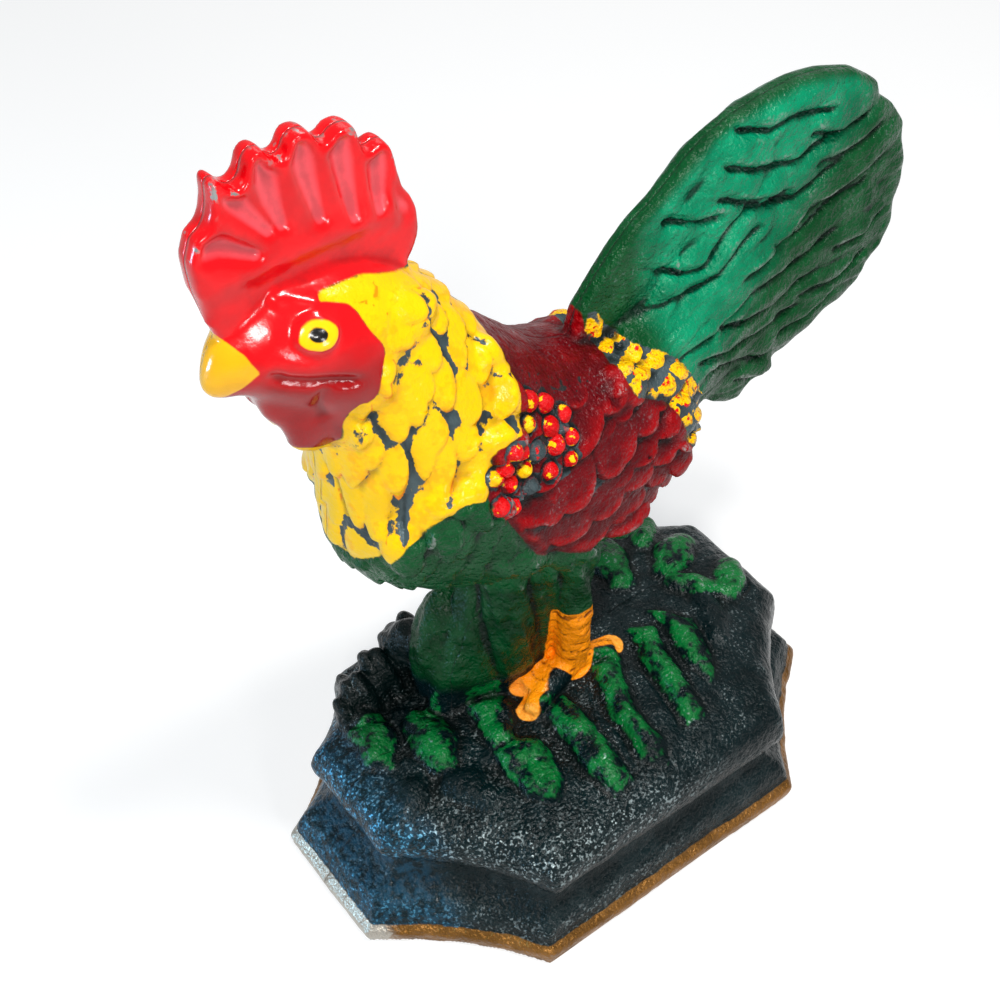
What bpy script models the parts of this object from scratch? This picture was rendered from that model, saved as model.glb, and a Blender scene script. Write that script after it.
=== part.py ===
"""Cast iron doorstop: a rooster on a stepped plinth, cast in two hollow halves.

The halves meet on one upright plane along the bird, and three machine screws hold them together.
The forms below are drawn about that plane, y = 0, with the plinth's length centred on x = 0.
Heights count from the plinth's rim, z = 0, where the foot lies below and the bird above. The
rooster looks towards -X, and its left side is at -Y. Lengths are in metres. At the end all hangs
on one empty, which puts the origin on the floor under the middle of the finished doorstop.
"""
import math

import bmesh
import bpy
from mathutils import Matrix, Vector
from mathutils.bvhtree import BVHTree

MM = 0.001

# Plinth, seen from above: an octagon with hollowed corner faces, deeper on the left of the seam
FOOT_LENGTH = 180 * MM
FOOT_END_FLAT = 45 * MM
FOOT_LEFT = 63.5 * MM
FOOT_LEFT_FLAT = 100 * MM
FOOT_RIGHT = 46.5 * MM
FOOT_RIGHT_FLAT = 122 * MM
RIM_LENGTH = 159 * MM
RIM_END_FLAT = 40 * MM
RIM_LEFT = 60.5 * MM
RIM_LEFT_FLAT = 91 * MM
RIM_RIGHT = 43 * MM
RIM_RIGHT_FLAT = 112 * MM
CORNER_HOLLOW = 3.2 * MM
CORNER_STEPS = 4

# Plinth, seen from the side: heights over the floor, and the sizes of the cove under the rim
BEAD_HEIGHT = 6.5 * MM
BAND_TOP = 18 * MM
RIM_HEIGHT = 33 * MM
COVE_DEPTH = 6 * MM
RIM_SWEEP = 3.4 * MM
BAND_HEIGHT = BAND_TOP - BEAD_HEIGHT
COVE_MIDDLE = (BAND_TOP + RIM_HEIGHT) / 2

# Plinth's outer and inner faces from the foot up: share of the way from the foot's plan to the
# rim's, inset, and height over the floor. The inner ones lie a wall's thickness further in.
PLINTH_LEVELS = (
    (0, 1.2 * MM, 0.0),
    (0, 0.0, 0.3 * BEAD_HEIGHT),
    (0, 0.0, 0.75 * BEAD_HEIGHT),
    (0, 1.4 * MM, BEAD_HEIGHT),
    (0, 2.6 * MM, BEAD_HEIGHT + 0.8 * MM),
    (0.1, 2.0 * MM, BEAD_HEIGHT + 0.3 * BAND_HEIGHT),
    (0.35, 2.2 * MM, BEAD_HEIGHT + 0.65 * BAND_HEIGHT),
    (0.7, 3.2 * MM, BEAD_HEIGHT + 0.9 * BAND_HEIGHT),
    (0.9, 0.8 * COVE_DEPTH, BAND_TOP + 1.5 * MM),
    (1, COVE_DEPTH, COVE_MIDDLE),
    (1, 0.75 * COVE_DEPTH, RIM_HEIGHT - 4.5 * MM),
    (1, 1.0 * MM, RIM_HEIGHT - 1.5 * MM),
    (1, 0.0, RIM_HEIGHT),
)
HOLLOW_LEVELS = (
    (0, 1.2 * MM, -2 * MM),
    (0, 2.6 * MM, BEAD_HEIGHT),
    (0.7, 3.2 * MM, BAND_TOP - 1.5 * MM),
    (1, COVE_DEPTH, COVE_MIDDLE),
)

# Mound on the plinth: share of the way in from the rim, height over the rim, share of roundness
MOUND = (
    (0.002, 2.4 * MM, 0.0),
    (0.018, 5.8 * MM, 0.0),
    (0.052, 9.0 * MM, 0.05),
    (0.11, 11.4 * MM, 0.15),
    (0.21, 12.9 * MM, 0.4),
    (0.38, 14.2 * MM, 0.7),
    (0.60, 15.4 * MM, 0.9),
    (0.84, 16.0 * MM, 1.0),
)
MOUND_SWEEP_FADE = 4
TAIL_END_SWELL = 5 * MM

# Walls, and the joint between the halves
WALL = 4.5 * MM
SEAM_GAP = 0.3 * MM
PARTING_CUTS = 15
PEG_RADIUS = 2.5 * MM
PEG_HEIGHT = 3.0 * MM
SOCKET_CLEARANCE = 0.35 * MM
PEG_PLACES = ((61, 141), (-66, 191))

# Screws, driven in from the right side
SCREW_RADIUS = 2.5 * MM
SCREW_REACH = 13 * MM
HOLE_CLEARANCE = 0.3 * MM
HEAD_RADIUS = 4.5 * MM
HEAD_HEIGHT = 3.5 * MM
HEAD_CLEARANCE = 0.75 * MM
SLOT_WIDTH = 1.2 * MM
SLOT_DEPTH = 1.8 * MM
BOSS_RADIUS = 8 * MM
SEAT_GAP = 0.3 * MM
BODY_SCREW = (26, 104)
BODY_SEAT = 10.5 * MM
BASE_SCREW_SPREAD = 36 * MM
BASE_SCREW_HEIGHT = 18 * MM
BASE_SEAT = 32 * MM

# Rooster's body, seen from the side in mm: back point, belly point and half-width per section.
# This and all that follows is measured from the rim up.
BODY = (
    ((53, 119), (50, 99), 5),
    ((43, 130), (41, 86), 13),
    ((28, 139), (27, 79), 20.5),
    ((10, 145), (8, 75), 25.5),
    ((-4, 151), (-14, 78), 27.5),
    ((-13, 159), (-36, 86), 28),
    ((-21, 168), (-57, 98), 27),
    ((-28, 177), (-69, 113), 25),
    ((-34, 185), (-70, 132), 22.5),
    ((-40, 193), (-71, 150), 20),
    ((-48, 201), (-74, 164), 17.5),
    ((-60, 207), (-79, 173), 16),
    ((-74, 207), (-85, 179), 13),
    ((-86, 203), (-89, 183), 9),
)
BODY_SIDES = 20
BODY_STEPS = 2
HOLLOW_FROM, HOLLOW_TO = 1, 11
HOLLOW_SIDES = 12

BEAK = (
    ((-80, 205), (-80, 181), 9),
    ((-88, 202), (-86, 182), 8.4),
    ((-93, 198), (-91, 183), 6),
    ((-96, 192), (-94, 184), 3.4),
    ((-97, 188), (-95.5, 185), 1.6),
)

TAIL_ROOT = (
    ((20, 145), (22, 95), 16),
    ((38, 149), (40, 91), 14),
    ((56, 163), (62, 96), 10),
    ((78, 173), (86, 105), 6),
    ((104, 167), (108, 119), 3),
)

# Comb, seen from the side in mm, and a lobe's radius from root to tip as shares of its largest
COMB_CENTRE = (-62, 203)
COMB_TIPS = (
    (-93, 207), (-93.5, 219), (-90, 229), (-84, 237), (-75.5, 241),
    (-65, 241), (-54.5, 238), (-46, 230), (-40, 213),
)
COMB_WEB = (
    (-92, 201), (-92, 217), (-87, 227), (-81, 234), (-70, 236),
    (-59, 234), (-50, 228), (-43, 217), (-42, 195), (-60, 199),
)
COMB_LOBE = ((0.15, 0.5), (0.5, 0.8), (0.84, 1.0), (0.95, 0.86), (1, 0.48))
COMB_LOBE_RADIUS = 5 * MM
COMB_THICKNESS = 8 * MM
COMB_WEB_THICKNESS = 4.6 * MM

# Tail feathers, seen from the side in mm: points from root to tip, and half-width, of which the
# profile gives the share at each point
TAIL_FEATHERS = (
    ((12, 143), (45, 169), (80, 182), (118, 172), 10),
    ((20, 137), (54, 158), (90, 170), (127, 154), 10.5),
    ((26, 130), (60, 145), (94, 154), (129, 135), 10.5),
    ((30, 123), (62, 132), (95, 137), (126, 118), 10.5),
    ((36, 115), (65, 119), (92, 120), (116, 109), 9.5),
    ((41, 108), (64, 109), (82, 109), (98, 102), 8),
    ((44, 101), (58, 100), (70, 99), (82, 95), 6),
)
TAIL_CURLS = (
    ((22, 133), (38, 147), (56, 157), (76, 161), 7),
    ((28, 123), (48, 133), (68, 139), (92, 141), 7),
    ((34, 113), (52, 118), (70, 123), (90, 123), 6.5),
    ((38, 105), (54, 106), (68, 108), (82, 108), 5.5),
)
FEATHER_PROFILE = (0.55, 1.0, 1.0, 0.25)
TAIL_PRESS = 0.42
CURL_OFFSET = 4 * MM

# Small feathers on each side of the body: side-view points of a row in mm, how many, the angle at
# which they lie, and their half-length, half-width and height
FEATHER_ROWS = (
    (((-46, 191), (-34, 175)), 2, -48, (12, 6, 3)),
    (((-56, 179), (-42, 165), (-34, 153)), 3, -58, (12, 6, 3)),
    (((-64, 163), (-54, 149), (-46, 141)), 3, -66, (12, 6, 3)),
    (((-30, 163), (-34, 145), (-48, 133), (-62, 129)), 5, -72, (11, 6, 3.2)),
    (((-16, 151), (4, 141), (26, 131)), 4, -28, (10, 6.5, 3)),
    (((-20, 135), (4, 124), (30, 117)), 4, -34, (10, 7, 3)),
    (((-24, 119), (2, 108), (28, 105)), 4, -38, (10, 7, 3)),
    (((-30, 105), (-12, 94), (10, 90)), 3, -30, (10, 6.5, 2.8)),
)
FEATHER_LIFT = 10
WATTLES = (
    ((-74, -5.5, 172), (8.5, 5.5, 12)),
    ((-81, -4, 178), (5.5, 4.5, 7)),
    ((-65, -12, 184), (9.5, 6, 11)),
)
EYE = ((-72, 198), (4.6, 4.2, 2.2))

# Leafy support under the bird: height, then centre and half-sizes of its oval, in mm
SUPPORT = (
    (7, -14, 8.5, 30, 12),
    (19, -14, 8.5, 29, 12),
    (33, -12, 7, 26, 13),
    (49, -8, 5.5, 23.5, 14),
    (65, -5, 4, 21.5, 15),
    (83, -2, 2, 21, 15),
)
SUPPORT_SIDES = 24
SUPPORT_LEAF_COUNT = 5
SUPPORT_WAVE = 0.09

# Legs and toes on the left side in mm, each point as place, height over the mound and radius;
# the right side mirrors them about a plane through the middle of the support
LEG_MIDDLE = 6
LEG = ((2, -9.5, 62, 6.5), (1, -10, 34, 5.4), (1, -9, 17, 5), (1.5, -7.5, 3, 5.2))
TOES = (
    ((1.5, -7.5, 3, 4.6), (-7, -7, 3, 4), (-15.5, -6.5, 1, 3)),
    ((1.5, -7.5, 3, 4.6), (-9.5, -11, 3, 4), (-20, -15, 1, 3)),
    ((1.5, -7.5, 3, 4.4), (9, -9.5, 2.2, 3.6), (16, -11, 0.8, 2.8)),
)

# Leaves on the mound, seen from above in mm: both ends, half-width and height
MOUND_LEAVES = (
    (-66, 18, -53, 24, 6, 4), (-68, 4, -56, 8, 6, 4.5), (-68, -11, -54, -6, 7, 4.5),
    (-54, 8, -46, 10, 6, 4), (-54, -8, -41, -11, 7, 4.5), (-56, -23, -43, -18, 6, 4),
    (-37, -14, -27, -26, 7.5, 5), (-31, -30, -29, -45, 7.5, 5), (-52, -34, -40, -31, 6, 4),
    (-9, -20, -11, -51, 7.5, 5), (13, -18, 6, -51, 7.5, 5), (34, -6, 24, -47, 7.5, 5),
    (51, -10, 43, -40, 7, 4.5), (52, 2, 64, 10, 7.5, 4), (62, -16, 71, -8, 7, 4),
    (36, 8, 40, 34, 7.5, 4.5), (20, 22, 22, 38, 6.5, 4.5), (54, 18, 62, 28, 6.5, 4),
)

# Tuft of grass at the breast end: its line on the mound in mm, and its blades
TUFT_LINE = ((-64, 21), (-56, 21), (-48, 23), (-40, 28))
TUFT_BLADE_COUNT = 7
TUFT_HEIGHT = 9


def smooth(rows, steps):
    """Rows of numbers in mm, made metres and refined by a Catmull-Rom curve through them."""
    rows = [Vector(row) * MM for row in rows]
    rows = [rows[0] * 2 - rows[1]] + rows + [rows[-1] * 2 - rows[-2]]
    fine = []
    for before, start, end, after in zip(rows, rows[1:], rows[2:], rows[3:]):
        for step in range(steps):
            t = step / steps
            fine.append(0.5 * (
                2 * start + (end - before) * t
                + (2 * before - 5 * start + 4 * end - after) * t * t
                + (3 * start - before - 3 * end + after) * t ** 3
            ))
    return fine + [rows[-2]]


def lerp(start, end, share):
    return start + (end - start) * share


def link(obj, collection):
    collection.objects.link(obj)
    return obj


def new_collection(name):
    collection = bpy.data.collections.new(name)
    bpy.context.scene.collection.children.link(collection)
    return collection


def mesh_object(name, bm, collection):
    mesh = bpy.data.meshes.new(name)
    bmesh.ops.recalc_face_normals(bm, faces=bm.faces)
    bm.to_mesh(mesh)
    bm.free()
    mesh.shade_smooth()
    return link(bpy.data.objects.new(name, mesh), collection)


def evaluated_mesh(obj):
    """The mesh that an object has with its modifiers or its bevel applied."""
    solid = obj.evaluated_get(bpy.context.evaluated_depsgraph_get())
    return bpy.data.meshes.new_from_object(solid)


def loft(name, rings, collection):
    """A closed skin over rings of equal count, with a flat cap on both ends."""
    bm = bmesh.new()
    loops = [[bm.verts.new(point) for point in ring] for ring in rings]
    count = len(rings[0])
    for lower, upper in zip(loops, loops[1:]):
        for k in range(count):
            bm.faces.new((lower[k], lower[(k + 1) % count], upper[(k + 1) % count], upper[k]))
    bm.faces.new(loops[0][::-1])
    bm.faces.new(loops[-1])
    return mesh_object(name, bm, collection)


def cylinder(name, start, end, radius, collection, sides=20):
    """A round bar between two points, lying along Y."""
    bm = bmesh.new()
    bmesh.ops.create_cone(
        bm, cap_ends=True, segments=sides, radius1=radius, radius2=radius,
        depth=(end - start).length,
        matrix=Matrix.Translation((start + end) / 2) @ Matrix.Rotation(math.pi / 2, 4, "X"),
    )
    return mesh_object(name, bm, collection)


def box(name, low, high, collection, cuts=0):
    """A block, whose faces a number of cuts can part into a grid."""
    low, high = Vector(low), Vector(high)
    bm = bmesh.new()
    bmesh.ops.create_cube(bm, size=1, matrix=Matrix.LocRotScale((low + high) / 2, None, high - low))
    if cuts:
        bmesh.ops.subdivide_edges(bm, edges=bm.edges, cuts=cuts, use_grid_fill=True)
    return mesh_object(name, bm, collection)


def oval(name, centre, turn, radii, collection, segments=8, rings=4):
    """An ellipsoid with its half-sizes along the columns of turn."""
    bm = bmesh.new()
    bmesh.ops.create_uvsphere(
        bm, u_segments=segments, v_segments=rings, radius=1,
        matrix=Matrix.LocRotScale(centre, turn, radii),
    )
    return mesh_object(name, bm, collection)


def tube(name, rows, steps, collection, press=1.0, across=0.0):
    """A round bar along rows of (x, y, z, radius) in mm, pressed flat and moved along Y."""
    curve = bpy.data.curves.new(name, "CURVE")
    curve.dimensions = "3D"
    curve.bevel_depth = 1.0
    curve.bevel_resolution = 2
    curve.use_fill_caps = True
    path = smooth(rows, steps)
    spline = curve.splines.new("POLY")
    spline.points.add(len(path) - 1)
    for knot, (x, y, z, radius) in zip(spline.points, path):
        knot.co = (x, y, z, 1)
        knot.radius = radius
    guide = link(bpy.data.objects.new(name, curve), collection)
    bm = bmesh.new()
    bm.from_mesh(evaluated_mesh(guide))
    bpy.data.objects.remove(guide)
    bmesh.ops.remove_doubles(bm, verts=bm.verts, dist=0.01 * MM)
    bmesh.ops.scale(bm, verts=bm.verts, vec=(1, press, 1))
    bmesh.ops.translate(bm, verts=bm.verts, vec=(0, across, 0))
    bmesh.ops.triangulate(bm, faces=bm.faces)
    return mesh_object(name, bm, collection)


def plate(name, outline, thickness, collection):
    """A flat plate on the middle plane with a side-view outline in mm."""
    curve = bpy.data.curves.new(name, "CURVE")
    curve.dimensions = "2D"
    curve.fill_mode = "BOTH"
    curve.extrude = thickness / 2
    spline = curve.splines.new("POLY")
    spline.points.add(len(outline) - 1)
    spline.use_cyclic_u = True
    for knot, (x, z) in zip(spline.points, outline):
        knot.co = (x * MM, z * MM, 0, 1)
    guide = link(bpy.data.objects.new(name, curve), collection)
    bm = bmesh.new()
    bm.from_mesh(evaluated_mesh(guide))
    bpy.data.objects.remove(guide)
    bmesh.ops.remove_doubles(bm, verts=bm.verts, dist=0.01 * MM)
    bm.transform(Matrix.Rotation(math.pi / 2, 4, "X"))
    return mesh_object(name, bm, collection)


def boolean(target, operation, cutter, solver="MANIFOLD"):
    """Add a Boolean modifier whose cutter is an object or a whole collection.

    The castings join many closed skins that cross each other, which the exact solver leaves
    open in places, so they use the manifold one.
    """
    step = target.modifiers.new(cutter.name, "BOOLEAN")
    step.operation = operation
    step.solver = solver
    if isinstance(cutter, bpy.types.Collection):
        step.operand_type = "COLLECTION"
        step.collection = cutter
    else:
        step.object = cutter


def plan(length, end_flat, left, right, height):
    """One level of the plinth, at a height over the floor.

    left and right are each a side's reach from the seam and the length of its flat.
    """
    a, q = length / 2, end_flat / 2
    (left_reach, left_flat), (right_reach, right_flat) = left, right
    corners = [
        (a, -q), (a, q), (right_flat / 2, right_reach), (-right_flat / 2, right_reach),
        (-a, q), (-a, -q), (-left_flat / 2, -left_reach), (left_flat / 2, -left_reach),
    ]
    corners = [Vector((x, y, 0)) for x, y in corners]
    points = []
    for k, start in enumerate(corners):
        end = corners[(k + 1) % len(corners)]
        hollow = CORNER_HOLLOW if k % 2 else 0.0
        steps = CORNER_STEPS if k % 2 else (2, 4)[k // 2 % 2]
        for step in range(steps):
            share = step / steps
            point = lerp(start, end, share)
            point -= point.normalized() * 4 * hollow * share * (1 - share)
            points.append(Vector((point.x, point.y, height - RIM_HEIGHT)))
    return points


def level(share, inset, height):
    """A plinth outline between the foot's plan (share 0) and the rim's (share 1)."""
    corner_cut = 2 * math.tan(math.radians(22.5)) * inset
    ring = plan(
        lerp(FOOT_LENGTH, RIM_LENGTH, share) - 2 * inset,
        lerp(FOOT_END_FLAT, RIM_END_FLAT, share) - corner_cut,
        (lerp(FOOT_LEFT, RIM_LEFT, share) - inset,
         lerp(FOOT_LEFT_FLAT, RIM_LEFT_FLAT, share) - corner_cut),
        (lerp(FOOT_RIGHT, RIM_RIGHT, share) - inset,
         lerp(FOOT_RIGHT_FLAT, RIM_RIGHT_FLAT, share) - corner_cut),
        height,
    )
    lift = min(max(0.0, height - BAND_TOP) / (RIM_HEIGHT - BAND_TOP), 1.0)
    for point in ring:
        point.z -= lift * RIM_SWEEP * (2 * point.x / RIM_LENGTH) ** 3
    return ring


def mound_ring(inward, rise, roundness, inset=0.0):
    """A ring of the mound, drawn from the rim's octagon towards an oval as it nears the top."""
    ring = level(1, 0, RIM_HEIGHT)
    for point in ring:
        reach = RIM_LEFT if point.y < 0 else RIM_RIGHT
        angle = math.atan2(point.y / reach, 2 * point.x / RIM_LENGTH)
        round_x, round_y = RIM_LENGTH / 2 * math.cos(angle), reach * math.sin(angle)
        sweep = point.z * max(0.0, 1 - MOUND_SWEEP_FADE * inward)
        scale = 1 - inward - inset / reach
        point.x = lerp(point.x, round_x, roundness) * scale
        point.y = lerp(point.y, round_y, roundness) * scale
        swell = TAIL_END_SWELL * min(1.0, rise / TAIL_END_SWELL) * (0.5 + point.x / RIM_LENGTH)
        point.z = rise + sweep + swell - inset
    return ring


def plinth(collection):
    rings = [level(*row) for row in PLINTH_LEVELS]
    return loft("plinth", rings + [mound_ring(*row) for row in MOUND], collection)


def plinth_hollow(collection):
    """The space under the plinth, open below, a wall's thickness inside the outer faces."""
    rings = [level(share, inset + WALL, height) for share, inset, height in HOLLOW_LEVELS]
    rings += [mound_ring(*row, inset=WALL) for row in MOUND[3:]]
    return loft("plinth hollow", rings, collection)


def section_rings(rows, sides, inset=0.0):
    rings = []
    for row in rows:
        top, bottom, half = Vector((row[0], 0, row[1])), Vector((row[2], 0, row[3])), row[4]
        centre, rise = (top + bottom) / 2, (top - bottom) / 2
        rise = rise.normalized() * (rise.length - inset)
        across = Vector((0, half - inset, 0))
        angles = [2 * math.pi * k / sides for k in range(sides)]
        rings.append([centre + rise * math.cos(a) + across * math.sin(a) for a in angles])
    return rings


def sections(stations, steps):
    return smooth([(*top, *bottom, half) for top, bottom, half in stations], steps)


def comb(collection):
    """A fan of rounded lobes joined by a thinner web."""
    plate("comb web", COMB_WEB, COMB_WEB_THICKNESS, collection)
    centre = Vector(COMB_CENTRE)
    for tip in COMB_TIPS:
        tip = Vector(tip)
        rows = []
        for share, swell in COMB_LOBE:
            x, z = lerp(centre, tip, share)
            rows.append((x, 0, z, COMB_LOBE_RADIUS / MM * swell))
        tube("comb lobe", rows, 1, collection, press=COMB_THICKNESS / (2 * COMB_LOBE_RADIUS))


def tail(collection):
    """Overlapping pressed feathers in the middle plane, with shorter curls on both sides."""
    loft("tail root", section_rings(sections(TAIL_ROOT, 2), 16), collection)

    def feather(points, half_width, steps, across):
        rows = [(x, 0, z, half_width * share) for (x, z), share in zip(points, FEATHER_PROFILE)]
        tube("tail feather", rows, steps, collection, press=TAIL_PRESS, across=across)

    for *points, half_width in TAIL_FEATHERS:
        feather(points, half_width, 3, 0.0)
    for *points, half_width in TAIL_CURLS:
        for side in (-1, 1):
            feather(points, half_width, 2, side * CURL_OFFSET)


def lobe(name, skin, start, aim, flow, radii, collection, lift=0):
    """A raised oval where a line of sight meets a skin, laid along the flow, its tip lifted."""
    place, normal, _, _ = skin.ray_cast(start, aim)
    along = (flow - normal * flow.dot(normal)).normalized()
    turn = Matrix((along, normal.cross(along), normal)).transposed()
    turn = turn @ Matrix.Rotation(-math.radians(lift), 3, "Y")
    oval(name, place, turn, radii, collection)


def head_details(skin, collection):
    for (x, y, z), radii in WATTLES:
        for side in (-1, 1):
            centre = Vector((x, -side * y, z)) * MM
            oval("wattle", centre, None, Vector(radii) * MM, collection, 12, 8)
    (x, z), radii = EYE
    for side in (-1, 1):
        start = Vector((x * MM, side * 0.1, z * MM))
        lobe("eye", skin, start, Vector((0, -side, 0)), Vector((-1, 0, 0)),
             Vector(radii) * MM, collection)


def feathers(skin, collection):
    """Rows of small raised feathers on the cape and the wing, alike on both sides."""
    for points, count, angle, radii in FEATHER_ROWS:
        line = smooth([(x, z) for x, z in points], 8)
        flow = Vector((math.cos(math.radians(angle)), 0, math.sin(math.radians(angle))))
        for k in range(count):
            x, z = line[round(k * (len(line) - 1) / (count - 1))]
            for side in (-1, 1):
                lobe("feather", skin, Vector((x, side * 0.1, z)), Vector((0, -side, 0)), flow,
                     Vector(radii) * MM, collection, FEATHER_LIFT)


def support_rings(rows, sides, wave, inset=0.0):
    """Rings of the leafy support, whose outline waves in and out around it."""
    rings = []
    for height, x, y, long_half, wide_half in rows:
        ring = []
        for k in range(sides):
            angle = 2 * math.pi * k / sides
            swell = 1 + wave * math.cos(SUPPORT_LEAF_COUNT * angle + height / (12 * MM))
            ring.append(Vector((
                x + (long_half * swell - inset) * math.cos(angle),
                y + (wide_half * swell - inset) * math.sin(angle),
                height,
            )))
        rings.append(ring)
    return rings


def above_mound(skin, x, y):
    """Height of the mound in mm over a place in the plan."""
    place, _, _, _ = skin.ray_cast(Vector((x * MM, y * MM, 0.2)), Vector((0, 0, -1)))
    return place.z / MM


def legs(skin, collection):
    for side in (-1, 1):
        def standing(rows):
            placed = [(x, LEG_MIDDLE + side * (LEG_MIDDLE - y), z, r) for x, y, z, r in rows]
            return [(x, y, above_mound(skin, x, y) + z, r) for x, y, z, r in placed]

        tube("leg", standing(LEG), 1, collection)
        for rows in TOES:
            tube("toe", standing(rows), 2, collection)


def mound_leaves(skin, collection):
    for x1, y1, x2, y2, half_width, rise in MOUND_LEAVES:
        start, end = Vector((x1, y1, 0)) * MM, Vector((x2, y2, 0)) * MM
        above = (start + end) / 2 + Vector((0, 0, 0.1))
        radii = Vector(((end - start).length / 2, half_width * MM, rise * MM))
        lobe("mound leaf", skin, above, Vector((0, 0, -1)), end - start, radii, collection)


def tuft(skin, collection):
    line = smooth(TUFT_LINE, 6)
    for k in range(TUFT_BLADE_COUNT):
        x, y = line[round(k * (len(line) - 1) / (TUFT_BLADE_COUNT - 1))] / MM
        root = above_mound(skin, x, y)
        top = root + TUFT_HEIGHT - 3 * (k % 2)
        rows = ((x + 3, y - 2, root - 8, 4.5), (x + 0.5, y, root + 1, 4.4), (x - 1, y + 1, top, 2))
        tube("grass blade", rows, 1, collection)


def whole_form(collection):
    """All of the outer shape as one solid mesh, before it is parted and cored."""
    formers = bpy.data.collections.new("formers")
    collection.children.link(formers)
    body = loft("body", section_rings(sections(BODY, BODY_STEPS), BODY_SIDES), formers)
    base = plinth(collection)
    view = bpy.context.evaluated_depsgraph_get()
    body_skin, mound_skin = BVHTree.FromObject(body, view), BVHTree.FromObject(base, view)
    loft("beak", section_rings(sections(BEAK, 2), 16), formers)
    loft("support", support_rings(smooth(SUPPORT, 1), SUPPORT_SIDES, SUPPORT_WAVE), formers)
    comb(formers)
    tail(formers)
    head_details(body_skin, formers)
    feathers(body_skin, formers)
    legs(mound_skin, formers)
    mound_leaves(mound_skin, formers)
    tuft(mound_skin, formers)
    boolean(base, "UNION", formers)
    form = evaluated_mesh(base)
    for former in list(formers.objects) + [base]:
        bpy.data.objects.remove(former)
    bpy.data.collections.remove(formers)
    return form


def screw_places():
    """Name, axis point in the seam and seat of each screw."""
    (x, z), spread, height = BODY_SCREW, BASE_SCREW_SPREAD, BASE_SCREW_HEIGHT - RIM_HEIGHT
    return (
        ("body_screw", Vector((x * MM, 0, z * MM)), BODY_SEAT),
        ("front_base_screw", Vector((-spread, 0, height)), BASE_SEAT),
        ("rear_base_screw", Vector((spread, 0, height)), BASE_SEAT),
    )


def core(collection):
    """The sand core: the hollows of body, support and plinth, less the screw bosses."""
    reach = Vector((0, FOOT_LEFT, 0))
    spine = sections(BODY, 1)[HOLLOW_FROM:HOLLOW_TO]
    hollow = loft("core", section_rings(spine, HOLLOW_SIDES, WALL), collection)
    hollows = bpy.data.collections.new("hollows")
    collection.children.link(hollows)
    trunk = [Vector(row) * MM for row in SUPPORT]
    loft("support hollow", support_rings(trunk, HOLLOW_SIDES, 0.0, WALL), hollows)
    plinth_hollow(hollows)
    bosses = bpy.data.collections.new("bosses")
    collection.children.link(bosses)
    for name, middle, _ in screw_places():
        cylinder(name + " boss", middle - reach, middle + reach, BOSS_RADIUS, bosses)
    boolean(hollow, "UNION", hollows)
    boolean(hollow, "DIFFERENCE", bosses)
    return hollow


def screw_holes(collection):
    """A blind hole in the left half, and a hole with a counterbored seat in the right one."""
    holes = bpy.data.collections.new("screw holes")
    collection.children.link(holes)
    for name, middle, seat in screw_places():
        bottom = middle - Vector((0, SCREW_REACH + 1 * MM, 0))
        top, outside = middle + Vector((0, seat, 0)), middle + Vector((0, FOOT_LEFT, 0))
        cylinder(name + " hole", bottom, outside, SCREW_RADIUS + HOLE_CLEARANCE, holes)
        cylinder(name + " seat", top, outside, HEAD_RADIUS + HEAD_CLEARANCE, holes)
    return holes


def pegs(collection, clearance):
    """Two locating pegs in the seam, or their sockets where there is a clearance."""
    group = bpy.data.collections.new("sockets" if clearance else "pegs")
    collection.children.link(group)
    for x, z in PEG_PLACES:
        middle = Vector((x, 0, z)) * MM
        low, high = middle - Vector((0, 2 * MM, 0)), middle + Vector((0, PEG_HEIGHT, 0))
        cylinder("peg", low, high + Vector((0, clearance, 0)), PEG_RADIUS + clearance, group, 16)
    return group


def casting(name, form, side, hollow, holes):
    half = link(bpy.data.objects.new(name, form.copy()), bpy.data.collections["rooster_doorstop"])
    reach, gap = 0.4, side * SEAM_GAP / 2
    low, high = ((-reach, gap, -reach), (reach, reach, reach))
    if side > 0:
        low, high = ((-reach, -reach, -reach), (reach, gap, reach))
    cutters = bpy.data.collections["cutters"]
    away = box(name + " parting block", low, high, cutters, PARTING_CUTS)
    boolean(half, "DIFFERENCE", away)
    boolean(half, "DIFFERENCE", hollow)
    boolean(half, "DIFFERENCE", holes)
    return half


def screw(name, middle, seat, collection):
    """A slotted cheese-head screw, turned about Z and laid along Y with its head to the right."""
    length = seat + SEAT_GAP + SCREW_REACH
    profile = (
        (0, HEAD_HEIGHT), (HEAD_RADIUS - 0.5 * MM, HEAD_HEIGHT), (HEAD_RADIUS, HEAD_HEIGHT - 0.5 * MM),
        (HEAD_RADIUS, 0), (SCREW_RADIUS, 0), (SCREW_RADIUS, 0.8 * MM - length),
        (SCREW_RADIUS - 0.8 * MM, -length), (0, -length),
    )
    bm = bmesh.new()
    points = [bm.verts.new((radius, 0, height)) for radius, height in profile]
    for start, end in zip(points, points[1:]):
        bm.edges.new((start, end))
    mesh = bpy.data.meshes.new(name)
    bm.to_mesh(mesh)
    bm.free()
    bar = link(bpy.data.objects.new(name, mesh), collection)
    turned = bar.modifiers.new("turned", "SCREW")
    turned.steps = turned.render_steps = 16
    turned.use_merge_vertices = True
    turned.merge_threshold = 0.01 * MM
    turned.use_smooth_shade = True
    bar.location = middle + Vector((0, seat + SEAT_GAP, 0))
    bar.rotation_euler = (-math.pi / 2, 0, 0)
    slot = box(name + " slot", (-HEAD_RADIUS * 2, -SLOT_WIDTH / 2, HEAD_HEIGHT - SLOT_DEPTH),
               (HEAD_RADIUS * 2, SLOT_WIDTH / 2, HEAD_HEIGHT + 1 * MM), bpy.data.collections["cutters"])
    slot.parent = bar
    boolean(bar, "DIFFERENCE", slot, "EXACT")
    return bar


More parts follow.
